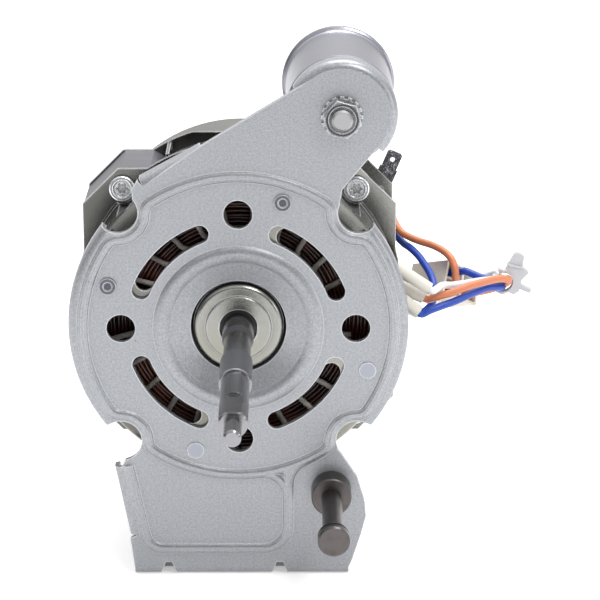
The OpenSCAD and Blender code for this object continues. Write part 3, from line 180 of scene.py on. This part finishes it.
def zinc_sheet(name, rgb, rough=0.4, metallic=0.75, mottle=0.12, grain=0.10, pit=0.0, warm=None,
               specks=0.0, gap=None, wear_and_edge_sheen=0.8, dirt_and_shade=0.75, below=None, ring=None):
    """Zinc coated sheet: sandy grain, soft clouds of tone, rolling streaks, rub marks, painted
    highlights on sharp edges and painted shade in creases, and with specks a few dark spots. Between the
    two radii of gap, in mm about the shaft, the sheet is painted near black as shade, and beyond them it
    is painted darker as shade, more so to the left. Under the shaft's height it has the colour below.
    Between the two radii of ring, in mm about the capacitor's axis, it is black."""
    m = Mat(name)
    base = lin(rgb)
    sand = m.range(m.mix(0.45, m.noise(2600, 4, 0.7), m.noise(1150, 4, 0.7)), 0, 1, 0.3, 0.7)
    cloud = m.noise(38, 4, 0.6, dist=0.4)
    streak = m.noise(1.0, 3, 0.6, vec=m.scaled((900, 900, 26)))
    v = m.math("ADD", m.math("MULTIPLY", sand, grain * 2), m.math("MULTIPLY", cloud, mottle * 2))
    v = m.math("ADD", v, m.math("MULTIPLY", streak, grain * 0.2))
    k = m.math("ADD", v, 1 - grain * 1.1 - mottle)
    col = m.toned(base, k)
    if warm:
        col = m.mix(m.ramp(m.noise(21, 3, 0.5), [(0.42, 0.0), (0.62, 0.55)]), col, lin(warm))
    rub = m.ramp(m.noise(1.0, 2, 0.6, vec=m.scaled((40, 40, 700))), [(0.66, 0.0), (0.72, 1.0)])
    rub = m.math("MULTIPLY", rub, m.ramp(m.noise(55, 2), [(0.6, 0.0), (0.68, 0.7)]))
    col = m.mix(m.math("MULTIPLY", rub, 0.35), col, shade(base, 0.55))
    if specks:
        spot = m.ramp(m.noise(520, 2, 0.5), [(0.745, 0.0), (0.775, 1.0)])
        col = m.mix(m.math("MULTIPLY", spot, specks), col, shade(base, 0.25))
    if below:
        z = m.new("SeparateXYZ", {0: m.obj}).outputs[2]
        col = m.mix(m.range(z, 1.0, 0.0, -0.01, 0.0), col, lin(below))
    if ring:
        r = m.new("SeparateXYZ", {0: m.polar(*CAP, (1, 1000, 1))}).outputs[1]
        band = m.math("MULTIPLY", m.range(r, 0, 1, ring[0] - 0.2, ring[0] + 0.1),
                      m.range(r, 1, 0, ring[1] - 0.1, ring[1] + 0.2))
        col = m.mix(m.math("MULTIPLY", band, 0.9), col, lin((34, 34, 36)))
    # painted shade: near black between the gap's radii, and darker beyond them and towards the left,
    # where the plate shades the shield
    if gap:
        r = m.new("SeparateXYZ", {0: m.polar(k=(1, 1000, 1))}).outputs[1]
        span = 40                       # mm that the ramp of dark reaches over
        a, b = (edge / span for edge in gap)
        x = m.new("SeparateXYZ", {0: m.obj}).outputs[0]
        outer_shade = m.math("MULTIPLY", m.range(x, 0.66, 0.05, -0.06, 0.04), m.range(r, 0, 1, *gap))
        col = m.mix(outer_shade, col, lin((52, 52, 50)))
        dark = m.ramp(m.math("DIVIDE", r, span),
                      [(a - 0.012, 0.0), (a + 0.006, 1.0), (b, 1.0), (b + 0.04, 0.0)])
        col = m.mix(m.math("MULTIPLY", dark, 0.97), col, lin((16, 15, 14)))
    # painted shade: the sheet darkened in creases and corners by an occlusion mask
    col = m.mix(m.math("MULTIPLY", m.crease(0.003), dirt_and_shade), col, shade(base, 0.15))
    # painted highlight: sharp edges turned near white and less metallic, as if lit
    painted_glint = m.math("MULTIPLY", m.rim(0.0008), wear_and_edge_sheen)
    col = m.mix(painted_glint, col, lin((246, 247, 249)))
    r = m.math("ADD", m.range(sand, -0.06, 0.08), m.math("ADD", m.range(cloud, -0.05, 0.06), rough))
    n = m.bump(sand, 0.00006, 0.35 + pit, m.edge(0.0003))
    return m.set(Base_Color=col, Metallic=m.range(painted_glint, metallic, 0.1), Roughness=r, Normal=n).m


def turned_metal(name, rgb, rough, x0, z0, pitch, depth, tone, dirt_and_shade=0.0, brushed=0.0):
    """Turned or ground metal: fine rings round its own axis, handling marks, darker film in patches."""
    m = Mat(name)
    base = lin(rgb)
    ring = m.noise(1.0, 3, 0.7, vec=m.polar(x0, z0, (1.5, pitch, pitch)))
    film = m.noise(180, 4, 0.65)
    k = m.math("ADD", m.math("MULTIPLY", ring, tone * 2), m.math("MULTIPLY", film, tone))
    k = m.math("ADD", k, 1 - tone * 1.5)
    col = m.toned(base, k)
    if dirt_and_shade:
        patch = m.math("MULTIPLY", m.ramp(film, [(0.5, 0.0), (0.72, 1.0)]), dirt_and_shade)
        col = m.mix(patch, col, lin((60, 52, 46)))
    r = m.math("ADD", m.range(ring, -0.05, 0.07), m.math("ADD", m.range(film, -0.04, 0.08), rough))
    n = m.bump(ring, depth, 0.6, m.edge(0.0002))
    if brushed:
        m.set(Anisotropic=brushed, Anisotropic_Rotation=0.25,
              Tangent=m.new("Tangent", direction_type="RADIAL", axis="Y").outputs[0])
    return m.set(Base_Color=col, Metallic=1.0, Roughness=r, Normal=n).m


def plastic(name, rgb, rough, tone=0.06, sss=0.0, trans=0.0):
    """Moulded plastic: spark eroded skin, slight flow tone and handling marks."""
    m = Mat(name)
    base = lin(rgb)
    skin = m.noise(3200, 3, 0.6)
    flow = m.noise(70, 3, 0.5, dist=0.6)
    k = m.math("ADD", m.math("MULTIPLY", flow, tone * 2), 1 - tone)
    k = m.math("ADD", k, m.math("MULTIPLY", m.math("SUBTRACT", skin, 0.5), tone * 0.6))
    col = m.toned(base, k)
    r = m.math("ADD", m.range(skin, -0.05, 0.06), m.math("ADD", m.range(flow, -0.05, 0.05), rough))
    m.set(Base_Color=col, Roughness=r, Normal=m.bump(skin, 0.00004, 0.4, m.edge(0.00025)))
    if sss:
        m.set(Subsurface_Weight=sss, Subsurface_Radius=(0.002, 0.002, 0.0018), Subsurface_Scale=1.0)
    if trans:
        m.set(Transmission_Weight=trans, IOR=1.5)
    return m.m


def insulation(name, rgb):
    """PVC wire covering: smooth, faintly waxy, with drawn lines and small scuffs."""
    m = Mat(name)
    base = lin(rgb)
    wax = m.noise(240, 3, 0.6)
    scuff = m.ramp(m.noise(700, 4, 0.7), [(0.62, 0.0), (0.7, 1.0)])
    k = m.math("ADD", m.math("MULTIPLY", wax, 0.22), 0.89)
    col = m.toned(base, k)
    col = m.mix(m.math("MULTIPLY", scuff, 0.18), col, shade(base, 1.5))
    r = m.math("ADD", m.range(wax, 0.30, 0.46), m.math("MULTIPLY", scuff, 0.12))
    return m.set(Base_Color=col, Roughness=r, Normal=m.bump(wax, 0.00005, 0.5),
                 Subsurface_Weight=0.08, Subsurface_Radius=(0.001, 0.0008, 0.0006),
                 Subsurface_Scale=1.0).m


def enamel(name):
    """Varnished winding wire: dark red brown, glossy on its crowns, dull and black in the gaps."""
    m = Mat(name)
    band = m.noise(60, 3, 0.6)
    fine = m.noise(900, 4, 0.65)
    col = m.ramp(m.math("ADD", m.math("MULTIPLY", band, 0.6), m.math("MULTIPLY", fine, 0.4)),
                 [(0.34, lin((22, 13, 11))), (0.5, lin((62, 30, 22))), (0.66, lin((104, 52, 34)))])
    r = m.range(fine, 0.18, 0.5)
    return m.set(Base_Color=col, Roughness=r, Coat_Weight=0.5, Coat_Roughness=0.15,
                 Normal=m.bump(fine, 0.00012, 0.6)).m


def cord_cloth(name, rgb, dark):
    """Lacing cord: braided threads, soaked darker by varnish in places."""
    m = Mat(name)
    thread = m.new("TexWave", {"Vector": m.obj, "Scale": 900, "Distortion": 6, "Detail": 3,
                               "Detail Scale": 2.0}).outputs[1]
    soak = m.noise(110, 3, 0.6)
    fuzz = m.noise(1900, 3, 0.7)
    col = m.mix(m.ramp(soak, [(0.42, 0.0), (0.66, 0.85)]), lin(rgb), lin(dark))
    col = m.mix(m.math("MULTIPLY", thread, 0.35), col, lin(dark))
    h = m.math("ADD", thread, m.math("MULTIPLY", fuzz, 0.5))
    return m.set(Base_Color=col, Roughness=m.range(soak, 0.9, 0.55), Normal=m.bump(h, 0.00012, 0.8)).m


def laminated(name, rgb):
    """A pack of punched sheets seen on its edge: thin lines across, varnish film, small burrs."""
    m = Mat(name)
    base = lin(rgb)
    line = m.noise(1.0, 2, 0.5, vec=m.scaled((30, 2200, 30)))     # 0.5 mm sheets
    film = m.noise(90, 4, 0.6)
    burr = m.noise(1500, 3, 0.6)
    k = m.math("ADD", m.math("MULTIPLY", line, 0.8), m.math("MULTIPLY", film, 0.5))
    k = m.math("ADD", k, 0.35)
    col = m.toned(base, k)
    h = m.math("ADD", line, m.math("MULTIPLY", burr, 0.3))
    return m.set(Base_Color=col, Metallic=0.7, Roughness=m.range(film, 0.38, 0.6),
                 Normal=m.bump(h, 0.00008, 0.7)).m


def etched(name, rgb, light):
    """Blackened sheet, worn through to bright metal in small flecks."""
    m = Mat(name)
    fleck = m.noise(1500, 5, 0.75)
    cloud = m.noise(300, 3, 0.6)
    wear_and_edge_sheen = m.ramp(m.math("ADD", m.math("MULTIPLY", fleck, 0.7), m.math("MULTIPLY", cloud, 0.3)),
                  [(0.5, 0.0), (0.6, 1.0)])
    col = m.mix(m.math("MULTIPLY", wear_and_edge_sheen, 0.8), lin(rgb), lin(light))
    return m.set(Base_Color=col, Metallic=0.6, Roughness=m.range(wear_and_edge_sheen, 0.6, 0.35),
                 Normal=m.bump(fleck, 0.00006, 0.6)).m


MATS = {
    "plate_steel": zinc_sheet("plate_steel", (152, 154, 158), 0.34, 0.62, 0.06, 0.45, specks=0.7),
    "rivet_steel": zinc_sheet("rivet_steel", (86, 88, 96), 0.3, 0.8, 0.12, 0.2, dirt_and_shade=0.95,
                              below=(146, 149, 158)),
    "dark_steel": turned_metal("dark_steel", (92, 88, 87), 0.34, *PIN, 5000, 0.00001, 0.14, dirt_and_shade=0.35),
    "case_steel": zinc_sheet("case_steel", (142, 142, 138), 0.2, 0.97, 0.24, 0.22, warm=(128, 127, 114),
                             gap=(17.3, 26)),
    "lamination": laminated("lamination", (108, 107, 112)),
    "liner": plastic("liner", (214, 208, 190), 0.7, tone=0.12),
    "enamel_wire": enamel("enamel_wire"),
    "lacing": cord_cloth("lacing", (204, 201, 194), (132, 124, 118)),
    "black_plastic": plastic("black_plastic", (26, 26, 28), 0.5),
    "screw_steel": zinc_sheet("screw_steel", (232, 234, 238), 0.26, 1.0, 0.16, 0.16, 0.2),
    "cage_aluminium": zinc_sheet("cage_aluminium", (200, 202, 206), 0.38, 1.0, 0.12, 0.1, 0.3),
    "ground_steel": turned_metal("ground_steel", (138, 137, 140), 0.17, 0, 0, 9000, 0.00001, 0.16,
                                 brushed=0.55),
    "bearing_steel": turned_metal("bearing_steel", (200, 202, 206), 0.12, 0, 0, 12000, 0.000004, 0.04),
    "cage_brass": turned_metal("cage_brass", (196, 170, 106), 0.3, 0, 0, 7000, 0.00001, 0.08),
    "can_aluminium": turned_metal("can_aluminium", (148, 148, 156), 0.3, *CAP, 2600, 0.000006, 0.05),
    "tab_tin": zinc_sheet("tab_tin", (208, 205, 196), 0.3, 0.95, 0.12, 0.08),
    "cream_plastic": plastic("cream_plastic", (220, 216, 206), 0.42, sss=0.08),
    "clear_nylon": plastic("clear_nylon", (198, 199, 203), 0.38, sss=0.3, trans=0.1),
    "wire_orange": insulation("wire_orange", (205, 125, 86)),
    "wire_blue": insulation("wire_blue", (30, 68, 168)),
    "wire_white": insulation("wire_white", (224, 226, 227)),
}
# Pieces whose finish differs from the rest of their slot
OWN = {
    "earth_tab": etched("etched_tin", (70, 68, 74), (196, 196, 200)),
    "connector_housing": plastic("aged_nylon", (226, 218, 203), 0.45, tone=0.09, sss=0.05),
    "stud_nut": zinc_sheet("bright_nut", (158, 159, 162), 0.24, 0.9, 0.1, 0.14, ring=(5.3, 6.45)),
    "stud_washer": zinc_sheet("bright_washer", (176, 177, 181), 0.3, 0.6, 0.2, 0.5),
    "capacitor_stud": turned_metal("stud_end", (160, 160, 162), 0.36, *CAP, 3000, 0.00001, 0.12),
}
for name, obj in NODES.items():
    obj.data.materials.clear()
    obj.data.materials.append(OWN.get(name, MATS[SLOT[name]]))


# ---- Mesh helpers ----
def piece(name, verts, faces, mat, body, *replaced):
    """A smooth mesh that rides on a body in place of the CAD nodes in replaced."""
    me = bpy.data.meshes.new(name)
    me.from_pydata([tuple(v) for v in verts], [], faces)
    me.validate()
    me.update()
    me.shade_smooth()
    ob = bpy.data.objects.new(name, me)
    scene.collection.objects.link(ob)
    me.materials.append(MATS[mat])
    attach(ob, body)
    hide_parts(*replaced)


def smooth_path(pts, per):
    """A smooth curve through the given points (centripetal Catmull-Rom) in metres, per steps to each."""
    p = [Vector(q) * MM for q in pts]
    p = [p[0] * 2 - p[1]] + p + [p[-1] * 2 - p[-2]]
    out = []
    for i in range(1, len(p) - 2):
        p0, p1, p2, p3 = p[i - 1:i + 3]
        t0 = 0.0
        t1 = t0 + max((p1 - p0).length, 1e-6) ** 0.5
        t2 = t1 + max((p2 - p1).length, 1e-6) ** 0.5
        t3 = t2 + max((p3 - p2).length, 1e-6) ** 0.5
        for j in range(per):
            t = t1 + (t2 - t1) * j / per
            a1 = p0 * ((t1 - t) / (t1 - t0)) + p1 * ((t - t0) / (t1 - t0))
            a2 = p1 * ((t2 - t) / (t2 - t1)) + p2 * ((t - t1) / (t2 - t1))
            a3 = p2 * ((t3 - t) / (t3 - t2)) + p3 * ((t - t2) / (t3 - t2))
            b1 = a1 * ((t2 - t) / (t2 - t0)) + a2 * ((t - t0) / (t2 - t0))
            b2 = a2 * ((t3 - t) / (t3 - t1)) + a3 * ((t - t1) / (t3 - t1))
            out.append(b1 * ((t2 - t) / (t2 - t1)) + b2 * ((t - t1) / (t2 - t1)))
    return out + [p[-2]]


def sweep(path, r, sides, verts, faces, flat=1.0, closed=False, lumps=0.0, seed=1):
    """Adds a tube of radius r along a path to verts and faces; flat squeezes it across its first side,
    and lumps makes its thickness uneven."""
    rnd = random.Random(seed)
    base, n, m = len(verts), Vector((0.05, 0.99, 0.13)), len(path)
    for i, q in enumerate(path):
        a = path[(i - 1) % m] if closed else path[max(i - 1, 0)]
        b = path[(i + 1) % m] if closed else path[min(i + 1, m - 1)]
        t = (b - a).normalized()
        n = (n - t * n.dot(t)).normalized()
        bi = t.cross(n)
        k = 1 + lumps * (rnd.random() - 0.5)
        for j in range(sides):
            c, s = math.cos(2 * math.pi * j / sides), math.sin(2 * math.pi * j / sides)
            verts.append(q + n * (r * k * c) + bi * (r * k * flat * s))
    for i in range(m if closed else m - 1):
        for j in range(sides):
            a, b = base + i * sides + j, base + i * sides + (j + 1) % sides
            c, d = base + (i + 1) % m * sides + (j + 1) % sides, base + (i + 1) % m * sides + j
            faces.append((a, b, c, d))
    if not closed:
        faces.append(tuple(base + j for j in reversed(range(sides))))
        faces.append(tuple(base + (m - 1) * sides + j for j in range(sides)))


# ---- Leads, along the routes of the CAD model ----
recep_y = 70.4                                      # the capacitor's receptacles begin here
cap_x, cap_z = 39.2, 83.2
cc = Vector((83.3, 62.0, -0.9))                     # the connector's middle and the way it faces
cn = Vector((0.614, -0.735, 0.287)).normalized()
cm0 = cn.cross(Vector((0, 0, 1))).normalized()
ck0 = cm0.cross(cn)
conn_roll = math.radians(26.9)
cm = cm0 * math.cos(conn_roll) + ck0 * math.sin(conn_roll)
ck = cm.cross(cn)
conn_l, term_n = 21.8, 3.9                          # its length and where its terminals end
cav_m, cav_k = (4.45, -4.45), 3.15                  # middles of its four openings


def into(m, k, out):
    """A lead's last points, from out mm before one of the connector's openings to its terminal."""
    return [cc + cn * (conn_l / 2 + t) + cm * m + ck * k
            for t in (out, out / 3, -3, term_n - conn_l / 2)]


# Ends of the four sleeves' middles
SLEEVES = [((62.2, 20.0, 18.1), (74.4, 20, 9.9)), ((63.9, 24.6, 9.3), (72.5, 24.6, 4.9)),
           ((64.4, 19.4, 5.4), (70.3, 19.4, 0.7)), ((64.0, 25.6, 2.2), (70.6, 28.6, -2.4))]


def from_sleeve(i):
    """A lead's first points, from inside a sleeve to just out of it."""
    a, b = (Vector(x) for x in SLEEVES[i])
    t = (b - a).normalized()
    return [b - 3 * t, b, b + 1.6 * t]


ROUTES = {
    "wire_orange_a": [(cap_x + 6, recep_y + 5, cap_z - 6), (cap_x + 6, recep_y + 5, cap_z - 10),
                      (44.6, 77, 66), (44.4, 78.2, 58), (46, 78.6, 51), (50, 78.6, 44.5),
                      (54.5, 78.6, 38.5), (58.8, 78.2, 32.5), (61.6, 76, 27), (63.2, 72.5, 22.6),
                      (65.9, 68, 19.6), (69.3, 65, 18.3), (73.3, 62, 17.4), (77.3, 59, 16.9),
                      (80.8, 56, 16), (83.5, 52.8, 14.8), (85.4, 49.5, 13), (86.3, 47.3, 10.6),
                      (86.7, 46.6, 8), (86.9, 47, 5.5)] + into(cav_m[0], -cav_k, 2.4),
    "wire_blue_a": [(cap_x - 6, recep_y + 5, cap_z - 6), (cap_x - 6, recep_y + 5, cap_z - 10),
                    (34.2, 80.5, 67.5), (36.5, 83.4, 60), (41.5, 84.4, 52.5), (48.5, 84.4, 45),
                    (54.5, 83.6, 37.5), (59.4, 81, 29.5), (62.2, 77, 22), (63.4, 73.4, 17.8),
                    (66.4, 69, 15.0), (69.3, 63, 14.3), (72.2, 56, 13.0), (74.3, 49.5, 11.3),
                    (75.9, 43.5, 9.8), (76.9, 37, 8.1), (77.3, 33, 5.5), (76.9, 31, 2.8),
                    (76, 30, 0.4), (74.5, 29.4, -1.2)] + from_sleeve(3)[::-1],
    "wire_white": from_sleeve(0) + [(79.6, 23.8, 10.1), (84, 27.6, 9.1), (88.3, 30.6, 8.8),
                                    (92.4, 32.6, 8.9), (96.6, 34.4, 9), (100.2, 35.3, 9.1),
                                    (103.5, 36.8, 8.9), (103.7, 41.2, 8.7), (104, 45, 8.8),
                                    (103.2, 49, 7.9), (100.6, 51.8, 6.3)] + into(cav_m[1], cav_k, 5),
    "wire_orange_b": from_sleeve(1) + [(79.2, 23.3, 6.1), (83.8, 23.3, 7.4), (89.5, 25, 9.2),
                                       (95.7, 27.6, 10.2), (101, 30.4, 10.6), (104.6, 32.6, 10.3),
                                       (106.5, 34.3, 9.2), (107, 36.8, 8), (107.1, 41.2, 7.8),
                                       (107.9, 44, 6), (106.2, 47, 3.4), (102.6, 49.4, 1.2)]
    + into(cav_m[1], -cav_k, 5),
    "wire_blue_b": from_sleeve(2) + [(74.6, 19.8, 1), (78.6, 21, 2.2), (85.6, 24, 3.9),
                                     (91.9, 27.6, 5.7), (98.3, 31.6, 6.8), (102.2, 34.2, 6.3),
                                     (104.5, 37, 5.5), (104.5, 41.2, 5.4), (103.4, 43.2, 5.4),
                                     (101.2, 44.6, 5.8), (98.3, 44.8, 6.6), (95.6, 45.9, 7.4),
                                     (93.3, 47.4, 8)] + into(cav_m[0], cav_k, 6),
}
for name, pts in ROUTES.items():
    verts, faces = [], []
    sweep(smooth_path(pts, 7), (1.4 if name == "wire_white" else 1.5) * MM, 16, verts, faces)
    piece(name + "_lead", verts, faces, SLOT[name], "frame", name)

# ---- Windings ----
W1, W2, WL = 34.0, 54.0, 18.0          # inner and outer radius and length of an end winding
Y_FRONT, Y_REAR = 13.0, 74.1           # front faces of the two end windings
WIRE, PITCH = 1.55, 1.62               # diameter of a turn, and from one turn to the next
SLOTS = 24


def ring_point(r, y, a):
    return Vector((r * math.cos(a), y, r * math.sin(a))) * MM


def end_winding(name, y0, face_front, node):
    """One end winding: a bed of copper with turns of wire all round it, the face in one spiral."""
    verts, faces = [], []
    rnd = random.Random(7 if face_front else 11)
    # bed, a little inside the turns
    inset, rad, m = 0.9, 2.4, 96
    in_r, out_r, in_y, out_y = (W1 + inset + rad, W2 - inset - rad,
                                y0 + inset + rad, y0 + WL - inset - rad)
    prof = []
    for cx, cy, a0 in ((in_r, in_y, 180), (out_r, in_y, 270), (out_r, out_y, 0), (in_r, out_y, 90)):
        for i in range(5):
            a = math.radians(a0 + 90 * i / 4)
            prof.append((cx + rad * math.cos(a), cy + rad * math.sin(a)))
    for i in range(m):
        for r, y in prof:
            verts.append(ring_point(r, y, 2 * math.pi * i / m))
    k = len(prof)
    for i in range(m):
        a, b = i * k, (i + 1) % m * k
        for j in range(k):
            faces.append((a + j, b + j, b + (j + 1) % k, a + (j + 1) % k))
    # the face's spiral, unbroken, with the small unevenness of a hand laid coil
    turns, steps = 11, 72
    yf = (y0 + WIRE / 2 - 1.15) if face_front else (y0 + WL - WIRE / 2)
    path = []
    for i in range(steps * turns + 1):
        a = 2 * math.pi * i / steps
        r = W1 + 1.7 + (W2 - W1 - 3.4) * i / (steps * turns)
        path.append(ring_point(r + 0.18 * math.sin(a * 5.3 + 1) + 0.1 * math.sin(a * 11.7),
                               yf + 0.22 * math.sin(a * 3.7) + 0.12 * math.sin(a * 9.1), a))
    sweep(path, WIRE / 2 * MM, 7, verts, faces, lumps=0.12)
    # turns on the outer and the inner side and on the back
    rows = [(r, y0 + 1.6 + PITCH * i) for r in (W2 - WIRE / 2, W1 + WIRE / 2) for i in range(10)]
    yb = (y0 + WL - WIRE / 2) if face_front else (y0 + WIRE / 2)
    rows += [(W1 + 2.2 + PITCH * i, yb) for i in range(11)]
    for r, y in rows:
        phase, waves = rnd.random() * 6.28, rnd.choice((3, 4, 5, 6))
        way = -0.12 if r > 45 else 0.12
        path = [ring_point(r + way + 0.12 * math.sin(waves * a + phase),
                           y + 0.2 * math.sin((waves + 1) * a + phase * 2), a)
                for a in [2 * math.pi * i / steps for i in range(steps)]]
        sweep(path, WIRE / 2 * MM, 6, verts, faces, closed=True, lumps=0.1, seed=int(r * y))
    piece(name, verts, faces, "enamel_wire", "frame", node)


end_winding("front_coils", Y_FRONT, True, "winding_front")
end_winding("rear_coils", Y_REAR, False, "winding_rear")


# Tape laced round the front end winding, one loop in each gap between two slots
verts, faces, path = [], [], []
lace_d, lo, hi = 2.2, 10.22, 32.4      # its width, and where its middle lies in front and behind
rc, rh = (W1 + W2) / 2, (W2 - W1) / 2 + 0.3 + lace_d / 2
yc, yh = (lo + hi) / 2, (hi - lo) / 2


def squared(v):
    """A sine or cosine that makes a rounded square in place of a circle."""
    return math.copysign(abs(v) ** 0.25, v) if abs(v) > 1e-9 else 0.0


for i in range(36 * SLOTS - 8):
    t, k = math.radians(10 * (i % 36)), i // 36
    adv = 0 if t < math.pi else (1 - math.cos(t - math.pi)) / 2
    path.append(ring_point(rc + rh * squared(math.cos(t)), yc + yh * squared(math.sin(t)),
                           (k + adv) * 2 * math.pi / SLOTS))
sweep(path, lace_d / 2 * MM, 8, verts, faces, flat=0.96, lumps=0.05)
piece("front_lacing", verts, faces, "lacing", "frame", "lacing_front")

# Copper in the slots: bundles of straight wires
verts, faces = [], []
for slot in range(SLOTS):
    a = (slot + 0.5) * 2 * math.pi / SLOTS
    er, et = Vector((math.cos(a), 0, math.sin(a))), Vector((-math.sin(a), 0, math.cos(a)))
    rnd = random.Random(slot)
    for i in range(9):
        for j in range(4):
            c = er * (34.85 + 1.28 * i) + et * (-1.87 + 1.24 * j)
            c += er * rnd.uniform(-0.04, 0.04)
            path = [Vector((c.x, y, c.z)) * MM for y in (31.2, 45.0, 60.0, 73.9)]
            sweep(path, 0.6 * MM, 6, verts, faces)
piece("slot_wires", verts, faces, "enamel_wire", "frame", "slot_coils")

# ---- Floor, light and surroundings ----
FLOOR_Z, FAR = -0.1026, 25             # just under the base flange, and wide enough to hide its edge
me = bpy.data.meshes.new("floor")
me.from_pydata([(x, y, FLOOR_Z) for x, y in ((-FAR, -FAR), (FAR, -FAR), (FAR, FAR), (-FAR, FAR))], [],
               [(0, 1, 2, 3)])
floor = bpy.data.objects.new("floor", me)
scene.collection.objects.link(floor)
fm = Mat("floor")
lp = fm.new("LightPath")
# The camera, metal and glass see a white floor; all other rays meet its plain colour
seen = fm.math("ADD", lp.outputs["Is Camera Ray"], lp.outputs["Is Glossy Ray"])
seen = fm.math("MINIMUM", fm.math("ADD", seen, lp.outputs["Is Transmission Ray"]), 1.0)
fm.set(Base_Color=(0.86, 0.86, 0.86, 1), Roughness=0.9, Specular_IOR_Level=0.0,
       Emission_Color=(1, 1, 1, 1), Emission_Strength=fm.math("MULTIPLY", seen, 0.4))
me.materials.append(fm.m)

world = bpy.data.worlds.new("studio")
scene.world = world
world.use_nodes = True
wt = world.node_tree
wt.nodes.clear()
wo = wt.nodes.new("ShaderNodeOutputWorld")
bg = wt.nodes.new("ShaderNodeBackground")
tc = wt.nodes.new("ShaderNodeTexCoord")
sep = wt.nodes.new("ShaderNodeSeparateXYZ")
wt.links.new(tc.outputs["Generated"], sep.inputs[0])


def sky(axis, f0, f1, t0, t1):
    """A soft change of brightness along one axis of the surroundings."""
    n = wt.nodes.new("ShaderNodeMapRange")
    n.interpolation_type = "SMOOTHSTEP"
    for i, v in ((1, f0), (2, f1), (3, t0), (4, t1)):
        n.inputs[i].default_value = v
    wt.links.new(sep.outputs[axis], n.inputs[0])
    return n.outputs[0]


both = wt.nodes.new("ShaderNodeMath")
both.operation = "ADD"
wt.links.new(sky(1, -0.35, 0.4, 0.14, 0.8), both.inputs[0])      # brighter behind
wt.links.new(sky(2, 0.1, 0.8, 0.0, 0.95), both.inputs[1])        # and brightest overhead
wt.links.new(both.outputs[0], bg.inputs["Color"])
bg.inputs["Strength"].default_value = 1.0
wt.links.new(bg.outputs[0], wo.inputs[0])


def lamp(name, at, size, watts):
    """A white disk lamp aimed at the case, just behind the middle of the plate."""
    d = bpy.data.lights.new(name, "AREA")
    d.shape, d.size, d.energy = "DISK", size, watts
    o = bpy.data.objects.new(name, d)
    scene.collection.objects.link(o)
    o.location = at
    o.rotation_mode = "QUATERNION"
    o.rotation_quaternion = (Vector((0, 0.02, 0)) - Vector(at)).to_track_quat("-Z", "Y")


lamp("key", (0.5, -0.75, 1.1), 0.4, 6.4)
lamp("right", (1.1, -0.55, 0.25), 0.5, 2.0)
lamp("top", (0.1, 0.35, 1.2), 0.7, 8.0)

scene.view_settings.view_transform = "Standard"
